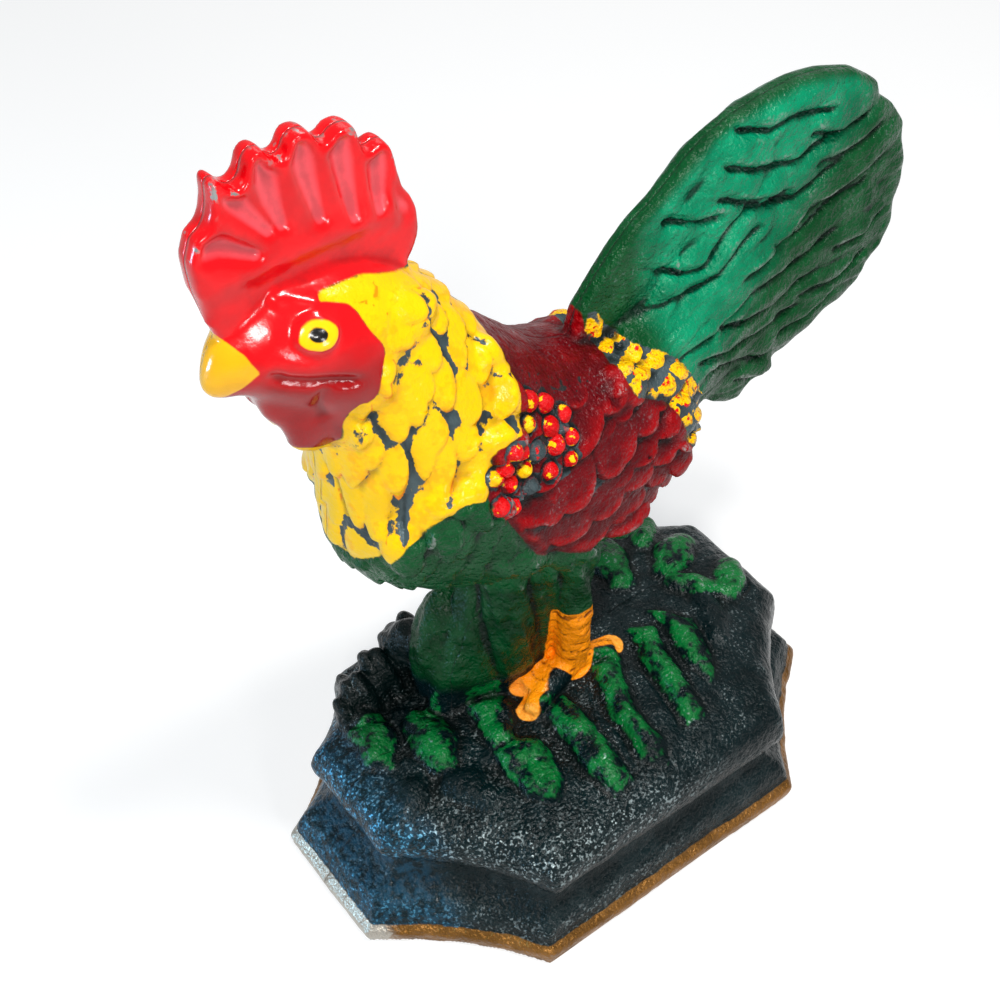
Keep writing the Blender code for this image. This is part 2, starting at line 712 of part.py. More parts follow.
def material(name, colour, roughness, metallic):
    finish = bpy.data.materials.new(name)
    finish.use_nodes = True
    shader = finish.node_tree.nodes["Principled BSDF"]
    shader.inputs["Base Color"].default_value = (*colour, 1)
    shader.inputs["Roughness"].default_value = roughness
    shader.inputs["Metallic"].default_value = metallic
    return finish


def clear_scene():
    for obj in list(bpy.data.objects):
        bpy.data.objects.remove(obj, do_unlink=True)


def main():
    clear_scene()
    doorstop = new_collection("rooster_doorstop")
    cutters = new_collection("cutters")
    form = whole_form(cutters)
    hollow, holes = core(cutters), screw_holes(cutters)
    left = casting("left_casting", form, -1, hollow, holes)
    right = casting("right_casting", form, 1, hollow, holes)
    boolean(left, "UNION", pegs(cutters, 0.0))
    boolean(right, "DIFFERENCE", pegs(cutters, SOCKET_CLEARANCE))
    for half, colour in ((left, (0.01, 0.13, 0.12)), (right, (0.012, 0.10, 0.14))):
        half.data.materials.append(material(half.name, colour, 0.4, 0.0))
    for name, middle, seat in screw_places():
        bar = screw(name, middle, seat, doorstop)
        bar.data.materials.append(material(name, (0.45, 0.44, 0.42), 0.4, 1.0))

    points = [vertex.co for vertex in form.vertices]
    centre = [(min(p[k] for p in points) + max(p[k] for p in points)) / 2 for k in (0, 1)]
    origin = link(bpy.data.objects.new("origin", None), doorstop)
    origin.location = (-centre[0], -centre[1], RIM_HEIGHT)
    for obj in bpy.data.objects:
        if obj is not origin and obj.parent is None:
            obj.parent = origin
    for obj in cutters.all_objects:
        obj.hide_render = True
        obj.display_type = "WIRE"


main()
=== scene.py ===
"""Painted cast iron rooster doorstop: two hollow castings with sculpted plumage, and three screws.

The castings are copies of the model's own, remeshed finely and carved in code, and they are
painted by fields kept on the mesh. Places are given in the drawing's millimetres: X runs along
the bird from beak (-) to tail (+), Y across it with the left side at -Y and the seam at zero,
and Z up from the floor. The frame's own metres are used wherever Blender is spoken to.
"""
import math

import bpy
import numpy as np
from bpy.props import FloatProperty, FloatVectorProperty, IntProperty, PointerProperty
from mathutils import Matrix, Vector
from mathutils.kdtree import KDTree


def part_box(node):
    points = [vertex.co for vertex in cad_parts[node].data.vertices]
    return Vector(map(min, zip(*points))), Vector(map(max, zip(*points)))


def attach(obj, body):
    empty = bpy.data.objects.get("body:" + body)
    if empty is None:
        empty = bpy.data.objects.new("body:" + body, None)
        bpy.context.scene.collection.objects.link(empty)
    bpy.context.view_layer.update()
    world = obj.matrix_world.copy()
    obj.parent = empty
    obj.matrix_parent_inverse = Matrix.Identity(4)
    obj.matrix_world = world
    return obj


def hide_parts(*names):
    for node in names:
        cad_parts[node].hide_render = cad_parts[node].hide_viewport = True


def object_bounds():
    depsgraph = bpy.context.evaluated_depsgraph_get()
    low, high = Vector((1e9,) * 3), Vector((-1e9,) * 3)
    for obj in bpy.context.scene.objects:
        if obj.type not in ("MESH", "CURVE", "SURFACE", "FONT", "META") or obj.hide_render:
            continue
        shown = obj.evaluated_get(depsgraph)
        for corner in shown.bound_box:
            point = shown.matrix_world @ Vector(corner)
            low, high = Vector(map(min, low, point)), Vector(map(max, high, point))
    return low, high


bl_info = {
    "name": "Rooster Doorstop",
    "version": (1, 0, 0),
    "blender": (4, 5, 0),
    "location": "3D View > Sidebar > Doorstop",
    "description": "Painted cast iron rooster doorstop in two halves, with its screws and stage",
    "category": "Object",
}

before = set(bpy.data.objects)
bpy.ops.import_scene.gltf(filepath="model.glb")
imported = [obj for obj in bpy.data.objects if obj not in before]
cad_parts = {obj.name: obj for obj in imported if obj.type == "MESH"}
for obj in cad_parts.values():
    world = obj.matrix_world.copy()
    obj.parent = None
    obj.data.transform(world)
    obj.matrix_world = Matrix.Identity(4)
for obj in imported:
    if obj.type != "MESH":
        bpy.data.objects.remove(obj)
MODEL_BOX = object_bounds()
MM = 0.001
CASTINGS = ("left_casting", "right_casting")
SCREWS = ("body_screw", "front_base_screw", "rear_base_screw")
MOST_TRIANGLES = 192000
# Room round the model's box for the blocks that cut it, in metres
ROOM = 0.02
# Lengths in mm
SEAM_GAP = 0.05
BOX_MARGIN = 0.05
HOLE_RADIUS = 2.75
HEAD_SEAT = 3.6
FOOT_RING, FOOT_FLAT = 1.2, 0.8
COMB_HALF = 4.3
BAND_STEP = 4.4
SPOT_REACH = 5
FAR = 1e9
# Lean of the wing's scallops from the body's length, in degrees
WING_TURN = 62
# Fields that the halves take from the carved whole, where the relief worked them out
SKIN_FIELDS = ("bead", "bead_tone", "yellow", "groove")


def drawing_origin():
    """The drawing's origin in the frame: between the base screws, on the seam, on the floor."""
    middle = (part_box("front_base_screw")[0].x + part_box("rear_base_screw")[1].x) / 2
    seam = (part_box("left_casting")[1].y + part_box("right_casting")[0].y) / 2
    return Vector((middle, seam, 0.0))


def tint(red, green, blue):
    """A paint colour from 0-255 screen values, made linear."""
    return tuple(
        c / 12.92 if c <= 0.04045 else ((c + 0.055) / 1.055) ** 2.4
        for c in (red / 255, green / 255, blue / 255)
    )


def length_of(name, description, mm, low=0.1, high=60.0):
    return FloatProperty(
        name=name, description=description, default=mm * MM, min=low * MM, max=high * MM,
        subtype="DISTANCE", unit="LENGTH", precision=4,
    )


def colour_of(name, description, red, green, blue):
    return FloatVectorProperty(
        name=name, description=description, default=tint(red, green, blue), min=0.0, max=1.0,
        size=3, subtype="COLOR",
    )


class CastingSizes(bpy.types.PropertyGroup):
    """Sizes of the carving on the castings."""

    grain: length_of("Carving Grain", "Distance between the carved mesh's points", 0.8)
    hackle_row: length_of("Hackle Length", "Length shown of each neck feather", 12.0)
    hackle_columns: IntProperty(
        name="Hackle Columns", description="Neck feathers from back to breast, on one side",
        default=10, min=4, max=24)
    hackle_depth: length_of("Hackle Depth", "Height of a neck feather's tip", 2.6)
    wing_row: length_of("Wing Scallop Length", "Length shown of each wing scallop", 10.0)
    wing_width: length_of("Wing Scallop Width", "Width of each wing scallop", 16.5)
    wing_depth: length_of("Wing Depth", "Height of a wing scallop's tip", 4.2)
    scale_size: length_of("Belly Scale Size", "Length and width of the belly's scales", 7.0)
    scale_depth: length_of("Belly Scale Depth", "Height of the belly's scales", 2.4)
    comb_depth: length_of("Comb Flute Depth", "Depth of the comb's hollow flutes", 2.4)
    tail_depth: length_of("Tail Groove Depth", "Depth of the grooves between tail feathers", 2.5)
    leaf_rise: length_of("Leaf Height", "Height of the leaves on the mound", 3.6)
    grain_depth: length_of("Cast Grain Depth", "Height of the iron's cast grain", 0.12, 0.01)


class PaintColours(bpy.types.PropertyGroup):
    """The painter's colours, and a red that paints a highlight on the wing."""

    comb_red: colour_of("Comb Red", "Comb and face", 222, 4, 16)
    hackle_yellow: colour_of("Hackle Yellow", "Neck feathers", 250, 196, 4)
    hackle_orange: colour_of("Hackle Orange", "Edges of the neck feathers", 240, 140, 6)
    beak_yellow: colour_of("Beak Yellow", "Beak", 246, 178, 10)
    wing_maroon: colour_of("Wing Maroon", "Saddle and wings", 92, 0, 9)
    # Painted highlight: this red lightens the raised tips of the wing's scallops
    wing_highlight_red: colour_of("Wing Red", "Tips of the wing's scallops", 146, 0, 8)
    bead_red: colour_of("Bead Red", "Beads on the shoulder", 214, 6, 14)
    tail_green: colour_of("Tail Green", "Tail feathers", 0, 132, 92)
    belly_green: colour_of("Belly Green", "Belly scales", 0, 72, 32)
    leaf_green: colour_of("Leaf Green", "Leaves on the mound", 0, 104, 44)
    plinth_teal: colour_of("Plinth Teal", "Plinth and mound", 0, 20, 23)
    leg_orange: colour_of("Leg Orange", "Legs and toes", 255, 148, 14)
    rim_gold: colour_of("Foot Gold", "Bead along the plinth's foot", 122, 84, 38)
    bare_iron: colour_of("Bare Iron", "Iron under chipped and unpainted places", 62, 76, 80)


class DoorstopSettings(bpy.types.PropertyGroup):
    """All that a user would change."""

    sizes: PointerProperty(type=CastingSizes, name="Sizes", description="Sizes of the carving")
    colours: PointerProperty(type=PaintColours, name="Colours", description="The paints")


# The bird's body, seen from the side: back point, belly point and half-width of each section
BODY = (
    (53, 152, 50, 132, 5), (43, 163, 41, 119, 13), (28, 172, 27, 112, 20.5),
    (10, 178, 8, 108, 25.5), (-4, 184, -14, 111, 27.5), (-13, 192, -36, 119, 28),
    (-21, 201, -57, 131, 27), (-28, 210, -69, 146, 25), (-34, 218, -70, 165, 22.5),
    (-40, 226, -71, 183, 20), (-48, 234, -74, 197, 17.5), (-60, 240, -79, 206, 16),
    (-74, 240, -85, 212, 13), (-86, 236, -89, 216, 9),
)

# Outlines seen from the side
COMB_OUTLINE = (
    (-90, 232), (-93, 240), (-94, 247), (-94.3, 254), (-93, 257), (-92, 259.5), (-89.5, 260.5),
    (-88, 263), (-87, 267), (-87, 270.5), (-86, 272), (-84.5, 271), (-83.2, 268.6),
    (-81, 267.5), (-79, 269), (-78, 272.5), (-76, 274.3), (-74, 274), (-72.3, 271),
    (-70.3, 269.4), (-69, 270.5), (-68, 273), (-66.3, 274.2), (-63, 273.5), (-61.4, 270.5),
    (-60.2, 268.7), (-59, 269), (-57, 270.8), (-54, 271), (-52, 269.6), (-51.2, 265.5),
    (-50.5, 262.6), (-49, 262.6), (-47, 263.6), (-45, 263.3), (-43.6, 261), (-42.6, 255),
    (-41.6, 250), (-39.8, 247), (-38.6, 243), (-38.4, 237), (-40, 233), (-43, 229),
    (-50, 224), (-70, 226), (-84, 228),
)
TAIL_OUTLINE = (
    (9, 187), (16, 195), (21, 200.5), (27, 206), (34, 210), (40, 214.5), (45, 218.5),
    (51, 222), (59, 224.7), (67, 226), (81, 227), (92, 225), (103, 221), (112, 214.5),
    (114, 209), (120, 204), (126, 196), (126.5, 190), (129, 183), (129.6, 174),
    (127.5, 168), (128.5, 160), (125, 152), (120, 148.5), (117.5, 143), (110, 139),
    (104, 138), (98, 134), (93, 133), (88, 131), (83.5, 131), (83, 127), (81.5, 123.5),
    (79, 124.5), (75, 125), (73, 123), (70, 121), (66, 121.5), (60, 125), (57, 128),
    (48, 128), (38, 126), (28, 135), (12, 150), (4, 172),
)
HACKLE_OUTLINE = (
    (-42, 229), (-32, 236), (-20, 216), (-26, 206), (-25, 201), (-24, 197), (-25.5, 194),
    (-27, 190), (-26, 186), (-29, 184.5), (-36, 185), (-38, 183), (-38, 179), (-40, 175.5),
    (-43, 173.5), (-46, 174.5), (-50, 174), (-53, 171), (-56, 170), (-58, 165.5), (-62, 164),
    (-64.5, 160), (-66, 156), (-69, 151), (-84, 150), (-90, 196), (-79, 198.5), (-72, 195),
    (-70, 198), (-70, 204), (-69, 208), (-67, 210.8), (-64.5, 210), (-62.7, 212), (-62, 216),
    (-60.5, 219.5), (-59, 222), (-59.4, 224.5), (-61, 227.5), (-62, 230), (-62.8, 233),
    (-64, 235), (-67, 236), (-70, 237.2), (-69, 238.4), (-62, 238), (-57, 237), (-50, 233.5),
)
FACE_OUTLINE = (
    (-42, 229), (-50, 233.5), (-57, 237), (-62, 238), (-69, 238.4), (-70, 237.2), (-67, 236),
    (-64, 235), (-62.8, 233), (-62, 230), (-61, 227.5), (-59.4, 224.5), (-59, 222),
    (-60.5, 219.5), (-62, 216), (-62.7, 212), (-64.5, 210), (-67, 210.8), (-69, 208),
    (-70, 204), (-70, 198), (-72, 195), (-79, 198.5), (-90, 196), (-120, 200), (-120, 290),
    (-25, 290), (-32, 236),
)
BEAK_OUTLINE = (
    (-93, 236), (-90.4, 233), (-88.4, 230.5), (-86.6, 226.2), (-89.5, 222.5), (-93, 219),
    (-97, 216), (-104, 207), (-108, 236),
)
IRIS_OUTLINE = (
    (-77.8, 231.7), (-76.1, 234.2), (-73.2, 235.3), (-70.2, 234.6), (-68.6, 232.7),
    (-70.2, 230.3), (-73.2, 229.2), (-76.3, 229.9),
)
PUPIL_CENTRE, PUPIL_SHARE = (-73.6, 233), 0.46
WING_OUTLINE = (
    (-20, 216), (-26, 206), (-25, 201), (-24, 197), (-25.5, 194), (-27, 190), (-26, 186),
    (-29, 184.5), (-36, 185), (-38, 183), (-38, 179), (-40, 175.5), (-42, 174), (-40, 168),
    (-36, 161.5), (-32, 153), (-29, 146.5), (-26, 140.5), (-20, 135), (-14, 131), (-7, 127),
    (6, 121), (20, 118), (34, 118), (44, 123), (49, 129), (46, 138), (41, 142), (32, 141),
    (29, 151), (27, 156), (24, 160), (19, 163), (13, 169), (12, 173), (12, 176), (10, 181),
    (8, 196), (-8, 200),
)
ROOT_OUTLINE = (
    (11, 186), (10, 181), (12, 176), (12, 173), (13, 169), (19, 163), (24, 160), (27, 156),
    (29, 151), (32, 141), (38, 130), (52, 124), (50, 134), (46, 142), (41, 153), (35, 163.5),
    (30, 169), (24, 173), (20, 175.5), (16.5, 180), (13.5, 186),
)
# Beads on the shoulder: place on the left side, radius, and tone (0 red, 1 yellow, 2 bare iron)
BEADS = (
    (-21, -20, 186, 2.9, 0), (-15, -21, 183, 2.7, 0), (-24, -22, 182, 2.4, 1),
    (-17, -22, 177, 2.8, 0), (-32, -27, 182, 2.4, 0), (-17, -24, 171.5, 2.8, 0),
    (-11, -23, 170, 2.4, 0), (-23, -25, 174.5, 2.9, 2), (-20, -27, 167, 2.4, 0),
    (-34, -28, 177, 2.6, 0), (-28, -27, 172, 2.3, 1), (-27, -28, 166.5, 2.5, 2),
    (-39, -27, 176, 2.2, 1), (-33, -27, 170.5, 2.6, 0), (-39, -30, 169, 2.5, 0),
    (-10, -22, 177.5, 2.4, 0), (-28.5, -25, 178, 2.4, 0), (-33, -29, 164, 2.4, 0),
    (-13, -25, 165, 2.3, 0),
)
# Yellow patches on the tail's root: place on the left side, and radius
PATCHES = (
    (11, -1, 182, 2.6), (17, -5, 175, 3.4), (23, -11, 170, 3.2), (15, -16, 173, 3.2),
    (27, -17, 165, 3.2), (12, -19, 169, 2.6), (34, -18, 154, 3.4), (35, -19, 148, 3.2),
    (33, -20, 143, 2.8), (31, -14, 163, 2.6), (38, -14, 150, 2.6),
)
# Flutes of the comb from tip to foot, and grooves between the tail's feathers, from the side
COMB_FLUTES = (
    ((-75, 273), (-74, 262), (-72.5, 255)), ((-66, 274), (-65, 263), (-63.5, 252.5)),
    ((-56.5, 270.5), (-56, 260), (-55.3, 249)), ((-47, 264), (-48, 256), (-48.8, 248)),
    ((-41, 250), (-41.5, 244), (-42, 238)), ((-86, 273), (-81.5, 264), (-76, 255)),
    ((-93, 258), (-87, 256), (-80, 251)),
)
TAIL_GROOVES = (
    ((17, 180), (39, 180.5), (52, 181.5), (61, 187), (69, 190)),
    ((31, 166), (47, 164), (57, 167), (65, 169), (87, 168), (104, 172)),
    ((24, 195), (40, 187), (48, 185.5), (57, 194), (63, 197), (81, 192), (104, 196)),
    ((46, 152), (60, 145), (78, 136)),
    ((50, 206), (62, 199.5), (81, 194.5)),
    ((56, 224), (69, 218.5), (79, 219), (96, 214)),
    ((51, 165), (62, 160), (74, 158), (98, 160)),
    ((52, 215), (64, 209), (80, 204), (100, 206)),
    ((40, 160), (55, 153), (70, 150), (92, 149)),
    ((34, 205), (46, 200), (54, 199)),
    ((70, 182), (84, 178), (98, 182), (114, 183)),
    ((58, 176), (72, 176), (88, 184), (104, 185), (120, 190)),
    ((84, 211), (96, 206), (110, 207)), ((88, 199), (100, 197), (116, 201)),
    ((80, 142), (94, 141), (106, 146)), ((86, 153), (104, 151), (118, 155)),
    ((100, 164), (112, 163), (124, 168)), ((64, 134), (74, 129), (80, 128)),
)
# Creases of the wattles, cheek and brow from the side, their depth (less than 0: a ridge) and width
FACE_CREASES = (
    (((-86, 226), (-82, 222.5), (-77, 220.5), (-70, 219), (-64, 217)), 1.6, 1.7),
    (((-74, 219), (-75, 212), (-74, 205)), 0.9, 1.6),
    (((-62, 206), (-66, 203), (-69, 207)), 0.8, 1.2),
    (((-80, 239), (-75, 238.5), (-68, 236)), -1.2, 1.6),
)
# The left leg, then its toes: points from the top down or outwards, and radius
LIMBS = (
    (((2, -9.5, 88), (1, -10, 84), (1, -9, 66), (1.5, -7.5, 54)), 7.9),
    (((1.5, -7.5, 54), (-7, -7, 54.5), (-16, -6.3, 53)), 4.0),
    (((1.5, -7.5, 54), (-9.5, -11, 54), (-19.5, -14.7, 52.3)), 4.0),
    (((1.5, -7.5, 54), (9, -9.5, 53), (16, -11, 51)), 4.2),
)
LEG_TOP, RIGHT_LEG_SHIFT = 86, 12
# Places along the tail and its half-widths there
TAIL_HALF_WIDTHS = ((30, 60, 90, 130), (6.5, 6.2, 5.2, 3.6))
# The tail's root: place along the bird, lowest and highest point, and half-width
TAIL_ROOT = (
    (20, 38, 56, 78, 104), (128, 124, 129, 138, 152), (178, 182, 196, 206, 200),
    (16, 14, 10, 6, 3),
)
# Leaves fuller than the model's: middle, half-sizes, and lean about Y and X in degrees
TRUNK_LEAVES = (
    ((-33, 12, 70), (10, 8, 23), (10, 0)), ((-24, 2, 74), (9, 6, 24), (4, -6)),
    ((-38, 22, 60), (7, 7, 13), (-8, 12)), ((12, 8, 72), (8, 9, 26), (6, 0)),
    ((-14, 18, 72), (14, 6, 26), (0, 4)),
)
TUFT_BLADES = (
    ((-64, 20, 49), (2.6, 4.5, 8), (-14, -8)), ((-60, 22, 51), (2.8, 5, 9.5), (-8, -10)),
    ((-55.5, 21, 52), (2.8, 5.5, 10.5), (-14, -8)), ((-51, 23, 53), (3, 6, 11.5), (-6, -12)),
    ((-46.5, 22, 53), (3, 6, 12), (-12, -8)), ((-42, 25, 54), (3, 6, 12), (-6, -10)),
    ((-37.5, 26, 54), (3.2, 6, 12), (-12, -6)), ((-33, 29, 54), (3.2, 6, 11), (-4, -8)),
    ((-58, 28, 49), (3, 5, 8), (-10, 6)), ((-48, 30, 50), (3, 5, 9), (-8, 6)),
)
# Places on the mound seen from above
TRUNK_FOOT = ((-36, -6), (-36, 22), (28, 22), (28, -6))
TUFT = ((-72, 14), (-66, 28), (-30, 40), (-30, 22), (-44, 14), (-58, 14))
# Leaves on the mound seen from above: those that show, then the rest as spines with half-widths
LEAVES = (
    ((-66, 18), (-59, 19), (-54, 14), (-55, 6), (-62, -4), (-68, 0), (-68.5, 11)),
    ((-52, 6), (-46, 9), (-41, 3), (-43, -8), (-50, -17), (-55, -13), (-56, -4)),
    ((-32, 0), (-26, -2), (-22, -7), (-22, -13), (-30, -20), (-35, -18), (-35, -8)),
    ((-36, -20), (-29, -20), (-23, -26), (-26, -37), (-31, -44.5), (-37, -38), (-39, -29)),
    ((-16, -17), (-7, -16), (-7, -31), (-9.5, -44), (-10, -52), (-16, -52), (-18, -42),
     (-18, -27)),
    ((7, -12), (15, -14), (7, -33), (5, -47), (2, -54), (-3, -47), (0, -32), (4, -19)),
    ((24, -9), (30, -14), (25, -36), (23, -47), (17, -48), (18, -34), (20, -21)),
    ((35, -8), (43, -18), (39, -34), (33, -40), (31, -27)),
)
LUMPS = (
    ((-53, -16), (-49, -17), (-44, -21), (-45, -31), (-49, -34), (-53, -27), (-56, -21)),
    ((49, -12), (55, -10), (54, -24), (46, -33), (43, -28), (47, -18)),
    ((-69, -12), (-63, -8), (-58, -14), (-63, -22), (-70, -19)),
)
FAR_LEAVES = (
    ((36, 8), (41, 34), 6.5), ((20, 22), (22, 38), 5.5), ((52, 3), (64, 10), 6.5),
    ((54, 18), (62, 29), 5.5), ((62, -15), (71, -7), 5.5), ((50, -4), (58, -12), 4.5),
    ((-20, 26), (-17, 39), 5.5), ((2, 26), (4, 40), 5.5),
)


# Fields

def soft(low, high, value):
    """0 below low, 1 above high and an even S between them."""
    share = np.clip((value - low) / (high - low), 0.0, 1.0)
    return share * share * (3 - 2 * share)


def mix(start, end, share):
    return start + (end - start) * share


def domed(share):
    """A share from 0 to 1 that rises steeply at first and levels off."""
    return 1 - (1 - np.clip(share, 0, 1)) ** 2


def scatter(ix, iy, iz, seed):
    """A fixed number from 0 to 1 for each whole-numbered cell."""
    h = (ix * 374761393 + iy * 668265263 + iz * 2147483029 + seed * 974634777) & 0xFFFFFFFF
    h = ((h ^ (h >> 13)) * 1274126177) & 0xFFFFFFFF
    return ((h ^ (h >> 16)) & 0xFFFF) / 65535.0


def rough(points, size, seed=0):
    """Smooth noise from -1 to 1 whose lumps are about size across."""
    place = points / size
    cell = np.floor(place).astype(np.int64)
    part = place - cell
    part = part * part * (3 - 2 * part)
    total = np.zeros(len(points))
    for corner in range(8):
        step = [corner & 1, corner >> 1 & 1, corner >> 2 & 1]
        share = np.ones(len(points))
        for axis in range(3):
            share *= part[:, axis] if step[axis] else 1 - part[:, axis]
        x, y, z = (cell[:, axis] + step[axis] for axis in range(3))
        total += share * scatter(x, y, z, seed)
    return total * 2 - 1


def inside(points, outline):
    """Distance inside a closed outline, in mm; negative outside it."""
    outline = np.asarray(outline, float)
    away = np.full(len(points), FAR)
    within = np.zeros(len(points), bool)
    for start, end in zip(outline, np.roll(outline, -1, 0)):
        edge = end - start
        step = points - start
        share = np.clip(step @ edge / (edge @ edge), 0, 1)
        away = np.minimum(away, np.hypot(*(step - share[:, None] * edge).T))
        if start[1] != end[1]:
            crosses = (start[1] > points[:, 1]) != (end[1] > points[:, 1])
            at = edge[0] * (points[:, 1] - start[1]) / edge[1] + start[0]
            within ^= crosses & (points[:, 0] < at)
    return np.where(within, away, -away)


def along(points, line):
    """Distance from a line of points, the side it lies on, and the share of the way along it."""
    line = np.asarray(line, float)
    away = np.full(len(points), FAR)
    side = np.zeros(len(points))
    share = np.zeros(len(points))
    for k, (start, end) in enumerate(zip(line, line[1:])):
        edge = end - start
        step = points - start
        part = np.clip(step @ edge / (edge @ edge), 0, 1)
        gap = step - part[:, None] * edge
        reach = np.hypot(*gap.T)
        nearer = reach < away
        away = np.where(nearer, reach, away)
        side = np.where(nearer, np.sign(edge[0] * step[:, 1] - edge[1] * step[:, 0]), side)
        share = np.where(nearer, (k + part) / (len(line) - 1), share)
    return away, side, share


def refined(rows, steps):
    """Rows of numbers refined by a smooth curve through them."""
    rows = np.asarray(rows, float)
    rows = np.vstack([2 * rows[0] - rows[1], rows, 2 * rows[-1] - rows[-2]])
    fine = []
    for before, start, end, after in zip(rows, rows[1:], rows[2:], rows[3:]):
        for t in np.arange(steps) / steps:
            fine.append(0.5 * (
                2 * start + (end - before) * t
                + (2 * before - 5 * start + 4 * end - after) * t * t
                + (3 * start - before - 3 * end + after) * t ** 3))
    return np.array(fine + [rows[-2]])


def rounded(outline):
    """A closed outline with its corners rounded off by cutting them twice."""
    outline = np.asarray(outline, float)
    for _ in range(2):
        after = np.roll(outline, -1, 0)
        outline = np.stack([mix(outline, after, 0.2), mix(outline, after, 0.8)], 1).reshape(-1, 2)
    return outline


class BodyMap:
    """Where points lie on the bird's body: way from the head, angle from the back, and reach."""

    steps = 12

    def __init__(self):
        rows = refined(BODY, self.steps)
        self.top, self.low, self.half = rows[:, 0:2], rows[:, 2:4], rows[:, 4]
        self.middle, self.rise = (self.top + self.low) / 2, (self.top - self.low) / 2
        steps = np.hypot(*np.diff(self.middle, axis=0).T)
        self.way = np.concatenate([np.cumsum(steps[::-1])[::-1], [0.0]])

    def place(self, points):
        flat = points[:, [0, 2]]
        count = len(self.top)
        best = np.full(len(points), FAR)
        at = np.zeros(len(points), int)
        gaps = []
        for k in range(count):
            line = self.low[k] - self.top[k]
            size = np.hypot(*line)
            step = flat - self.top[k]
            gap = (line[0] * step[:, 1] - line[1] * step[:, 0]) / size
            share = step @ line / size ** 2
            cost = np.abs(gap) + 30 * np.clip(np.abs(share - 0.5) - 0.8, 0, None)
            nearer = cost < best
            best = np.where(nearer, cost, best)
            at = np.where(nearer, k, at)
            gaps.append(gap)
        gaps = np.array(gaps)
        index = np.arange(len(points))
        here = gaps[at, index]
        part = np.zeros(len(points))
        for turn in (-1, 1):
            beside = np.clip(at + turn, 0, count - 1)
            there = gaps[beside, index]
            crosses = (here * there < 0) & (beside != at)
            part = np.where(crosses, turn * here / (here - there + 1e-12), part)
        spot = np.clip(at + part, 0, count - 1.001)
        base = np.floor(spot).astype(int)
        part = spot - base

        def between(rows):
            if rows.ndim == 2:
                return mix(rows[base], rows[base + 1], part[:, None])
            return mix(rows[base], rows[base + 1], part)

        middle, rise = between(self.middle), between(self.rise)
        half, way = between(self.half), between(self.way)
        up = np.einsum("ij,ij->i", flat - middle, rise) / np.einsum("ij,ij->i", rise, rise)
        out = points[:, 1] / half
        angle = np.arctan2(np.abs(out), up)
        girth = np.sqrt((np.einsum("ij,ij->i", rise, rise) + half ** 2) / 2)
        skin = np.empty_like(points)
        skin[:, [0, 2]] = middle + rise * np.cos(angle)[:, None]
        skin[:, 1] = half * np.sin(angle) * np.where(points[:, 1] < 0, -1, 1)
        return {
            "way": way, "angle": angle, "around": angle * girth, "reach": np.hypot(out, up),
            "skin": skin,
        }


def shingles(way, around, roundness, crown, seed, wander=0.16, lap=2.0, ramp=1.25):
    """Overlapping feathers on a grid of cells, each tip pointing along way.

    Gives the height from 0 to 1, and how near a place is to a feather's border.
    """
    row = np.floor(way).astype(np.int64)
    height = np.zeros(len(way))
    border = np.zeros(len(way))
    for ahead in (0, 1, 2):
        line = row + ahead
        shift = 0.5 * (line & 1)
        column = np.floor(around - shift).astype(np.int64)
        for beside in (-1, 0, 1):
            col = column + beside
            turn = scatter(line, col, line * 0, seed) - 0.5
            push = scatter(line, col, line * 0, seed + 7) - 0.5
            size = 1 + 0.25 * (scatter(line, col, line * 0, seed + 13) - 0.5)
            centre = col + 0.5 + shift + wander * 2 * turn
            tip = line + 1 + wander * 2 * push
            across = (around - centre) / (0.62 * size)
            back = tip - way - roundness * (1 - np.sqrt(np.clip(1 - across ** 2, 0, 1)))
            cover = (np.abs(across) < 1) & (back > 0) & (back < lap)
            lip = soft(0.0, 0.16, back) * soft(1.0, 0.8, np.abs(across))
            rise = (1 - ramp * back / lap) * (1 - crown * across ** 2)
            rise = np.clip(rise, 0.02, 1) * mix(0.35, 1.0, lip) * size
            taller = cover & (rise > height)
            height = np.where(taller, rise, height)
            border = np.where(taller, 1 - lip, border)
    return np.clip(height, 0, 1.2), border


def leaf_field(plan):
    """Distance inside the nearest leaf on the mound, and inside the nearest lump."""
    leaf = np.full(len(plan), -FAR)
    lump = np.full(len(plan), -FAR)
    for outline in LEAVES:
        leaf = np.maximum(leaf, inside(plan, outline))
    for start, end, half in FAR_LEAVES:
        away, _, share = along(plan, (start, end))
        width = half * (0.55 + 0.45 * np.sin(math.pi * np.clip(share, 0.1, 0.9)))
        leaf = np.maximum(leaf, width - away)
    for outline in LUMPS:
        lump = np.maximum(lump, inside(plan, outline))
    return leaf, lump


def leg_field(points):
    """Distance inside the orange legs and toes, the way down each, and the share of claw."""
    best = np.full(len(points), -FAR)
    way = np.zeros(len(points))
    claw = np.zeros(len(points))
    for place in (points, points * (1, -1, 1) + (0, RIGHT_LEG_SHIFT, 0)):
        for line, radius in LIMBS:
            line = np.asarray(line, float)
            lengths = np.linalg.norm(np.diff(line, axis=0), axis=1)
            run = 0.0
            for start, end, size in zip(line, line[1:], lengths):
                step = place - start
                part = np.clip(step @ (end - start) / size ** 2, 0, 1)
                reach = radius - np.linalg.norm(step - part[:, None] * (end - start), axis=1)
                nearer = reach > best
                best = np.where(nearer, reach, best)
                way = np.where(nearer, run + part * size, way)
                toe_end = radius < LIMBS[0][1] and np.array_equal(end, line[-1])
                claw = np.where(nearer, soft(0.9, 1.0, part) if toe_end else 0.0, claw)
                run += size
    return np.minimum(best, LEG_TOP - points[:, 2]), way, claw


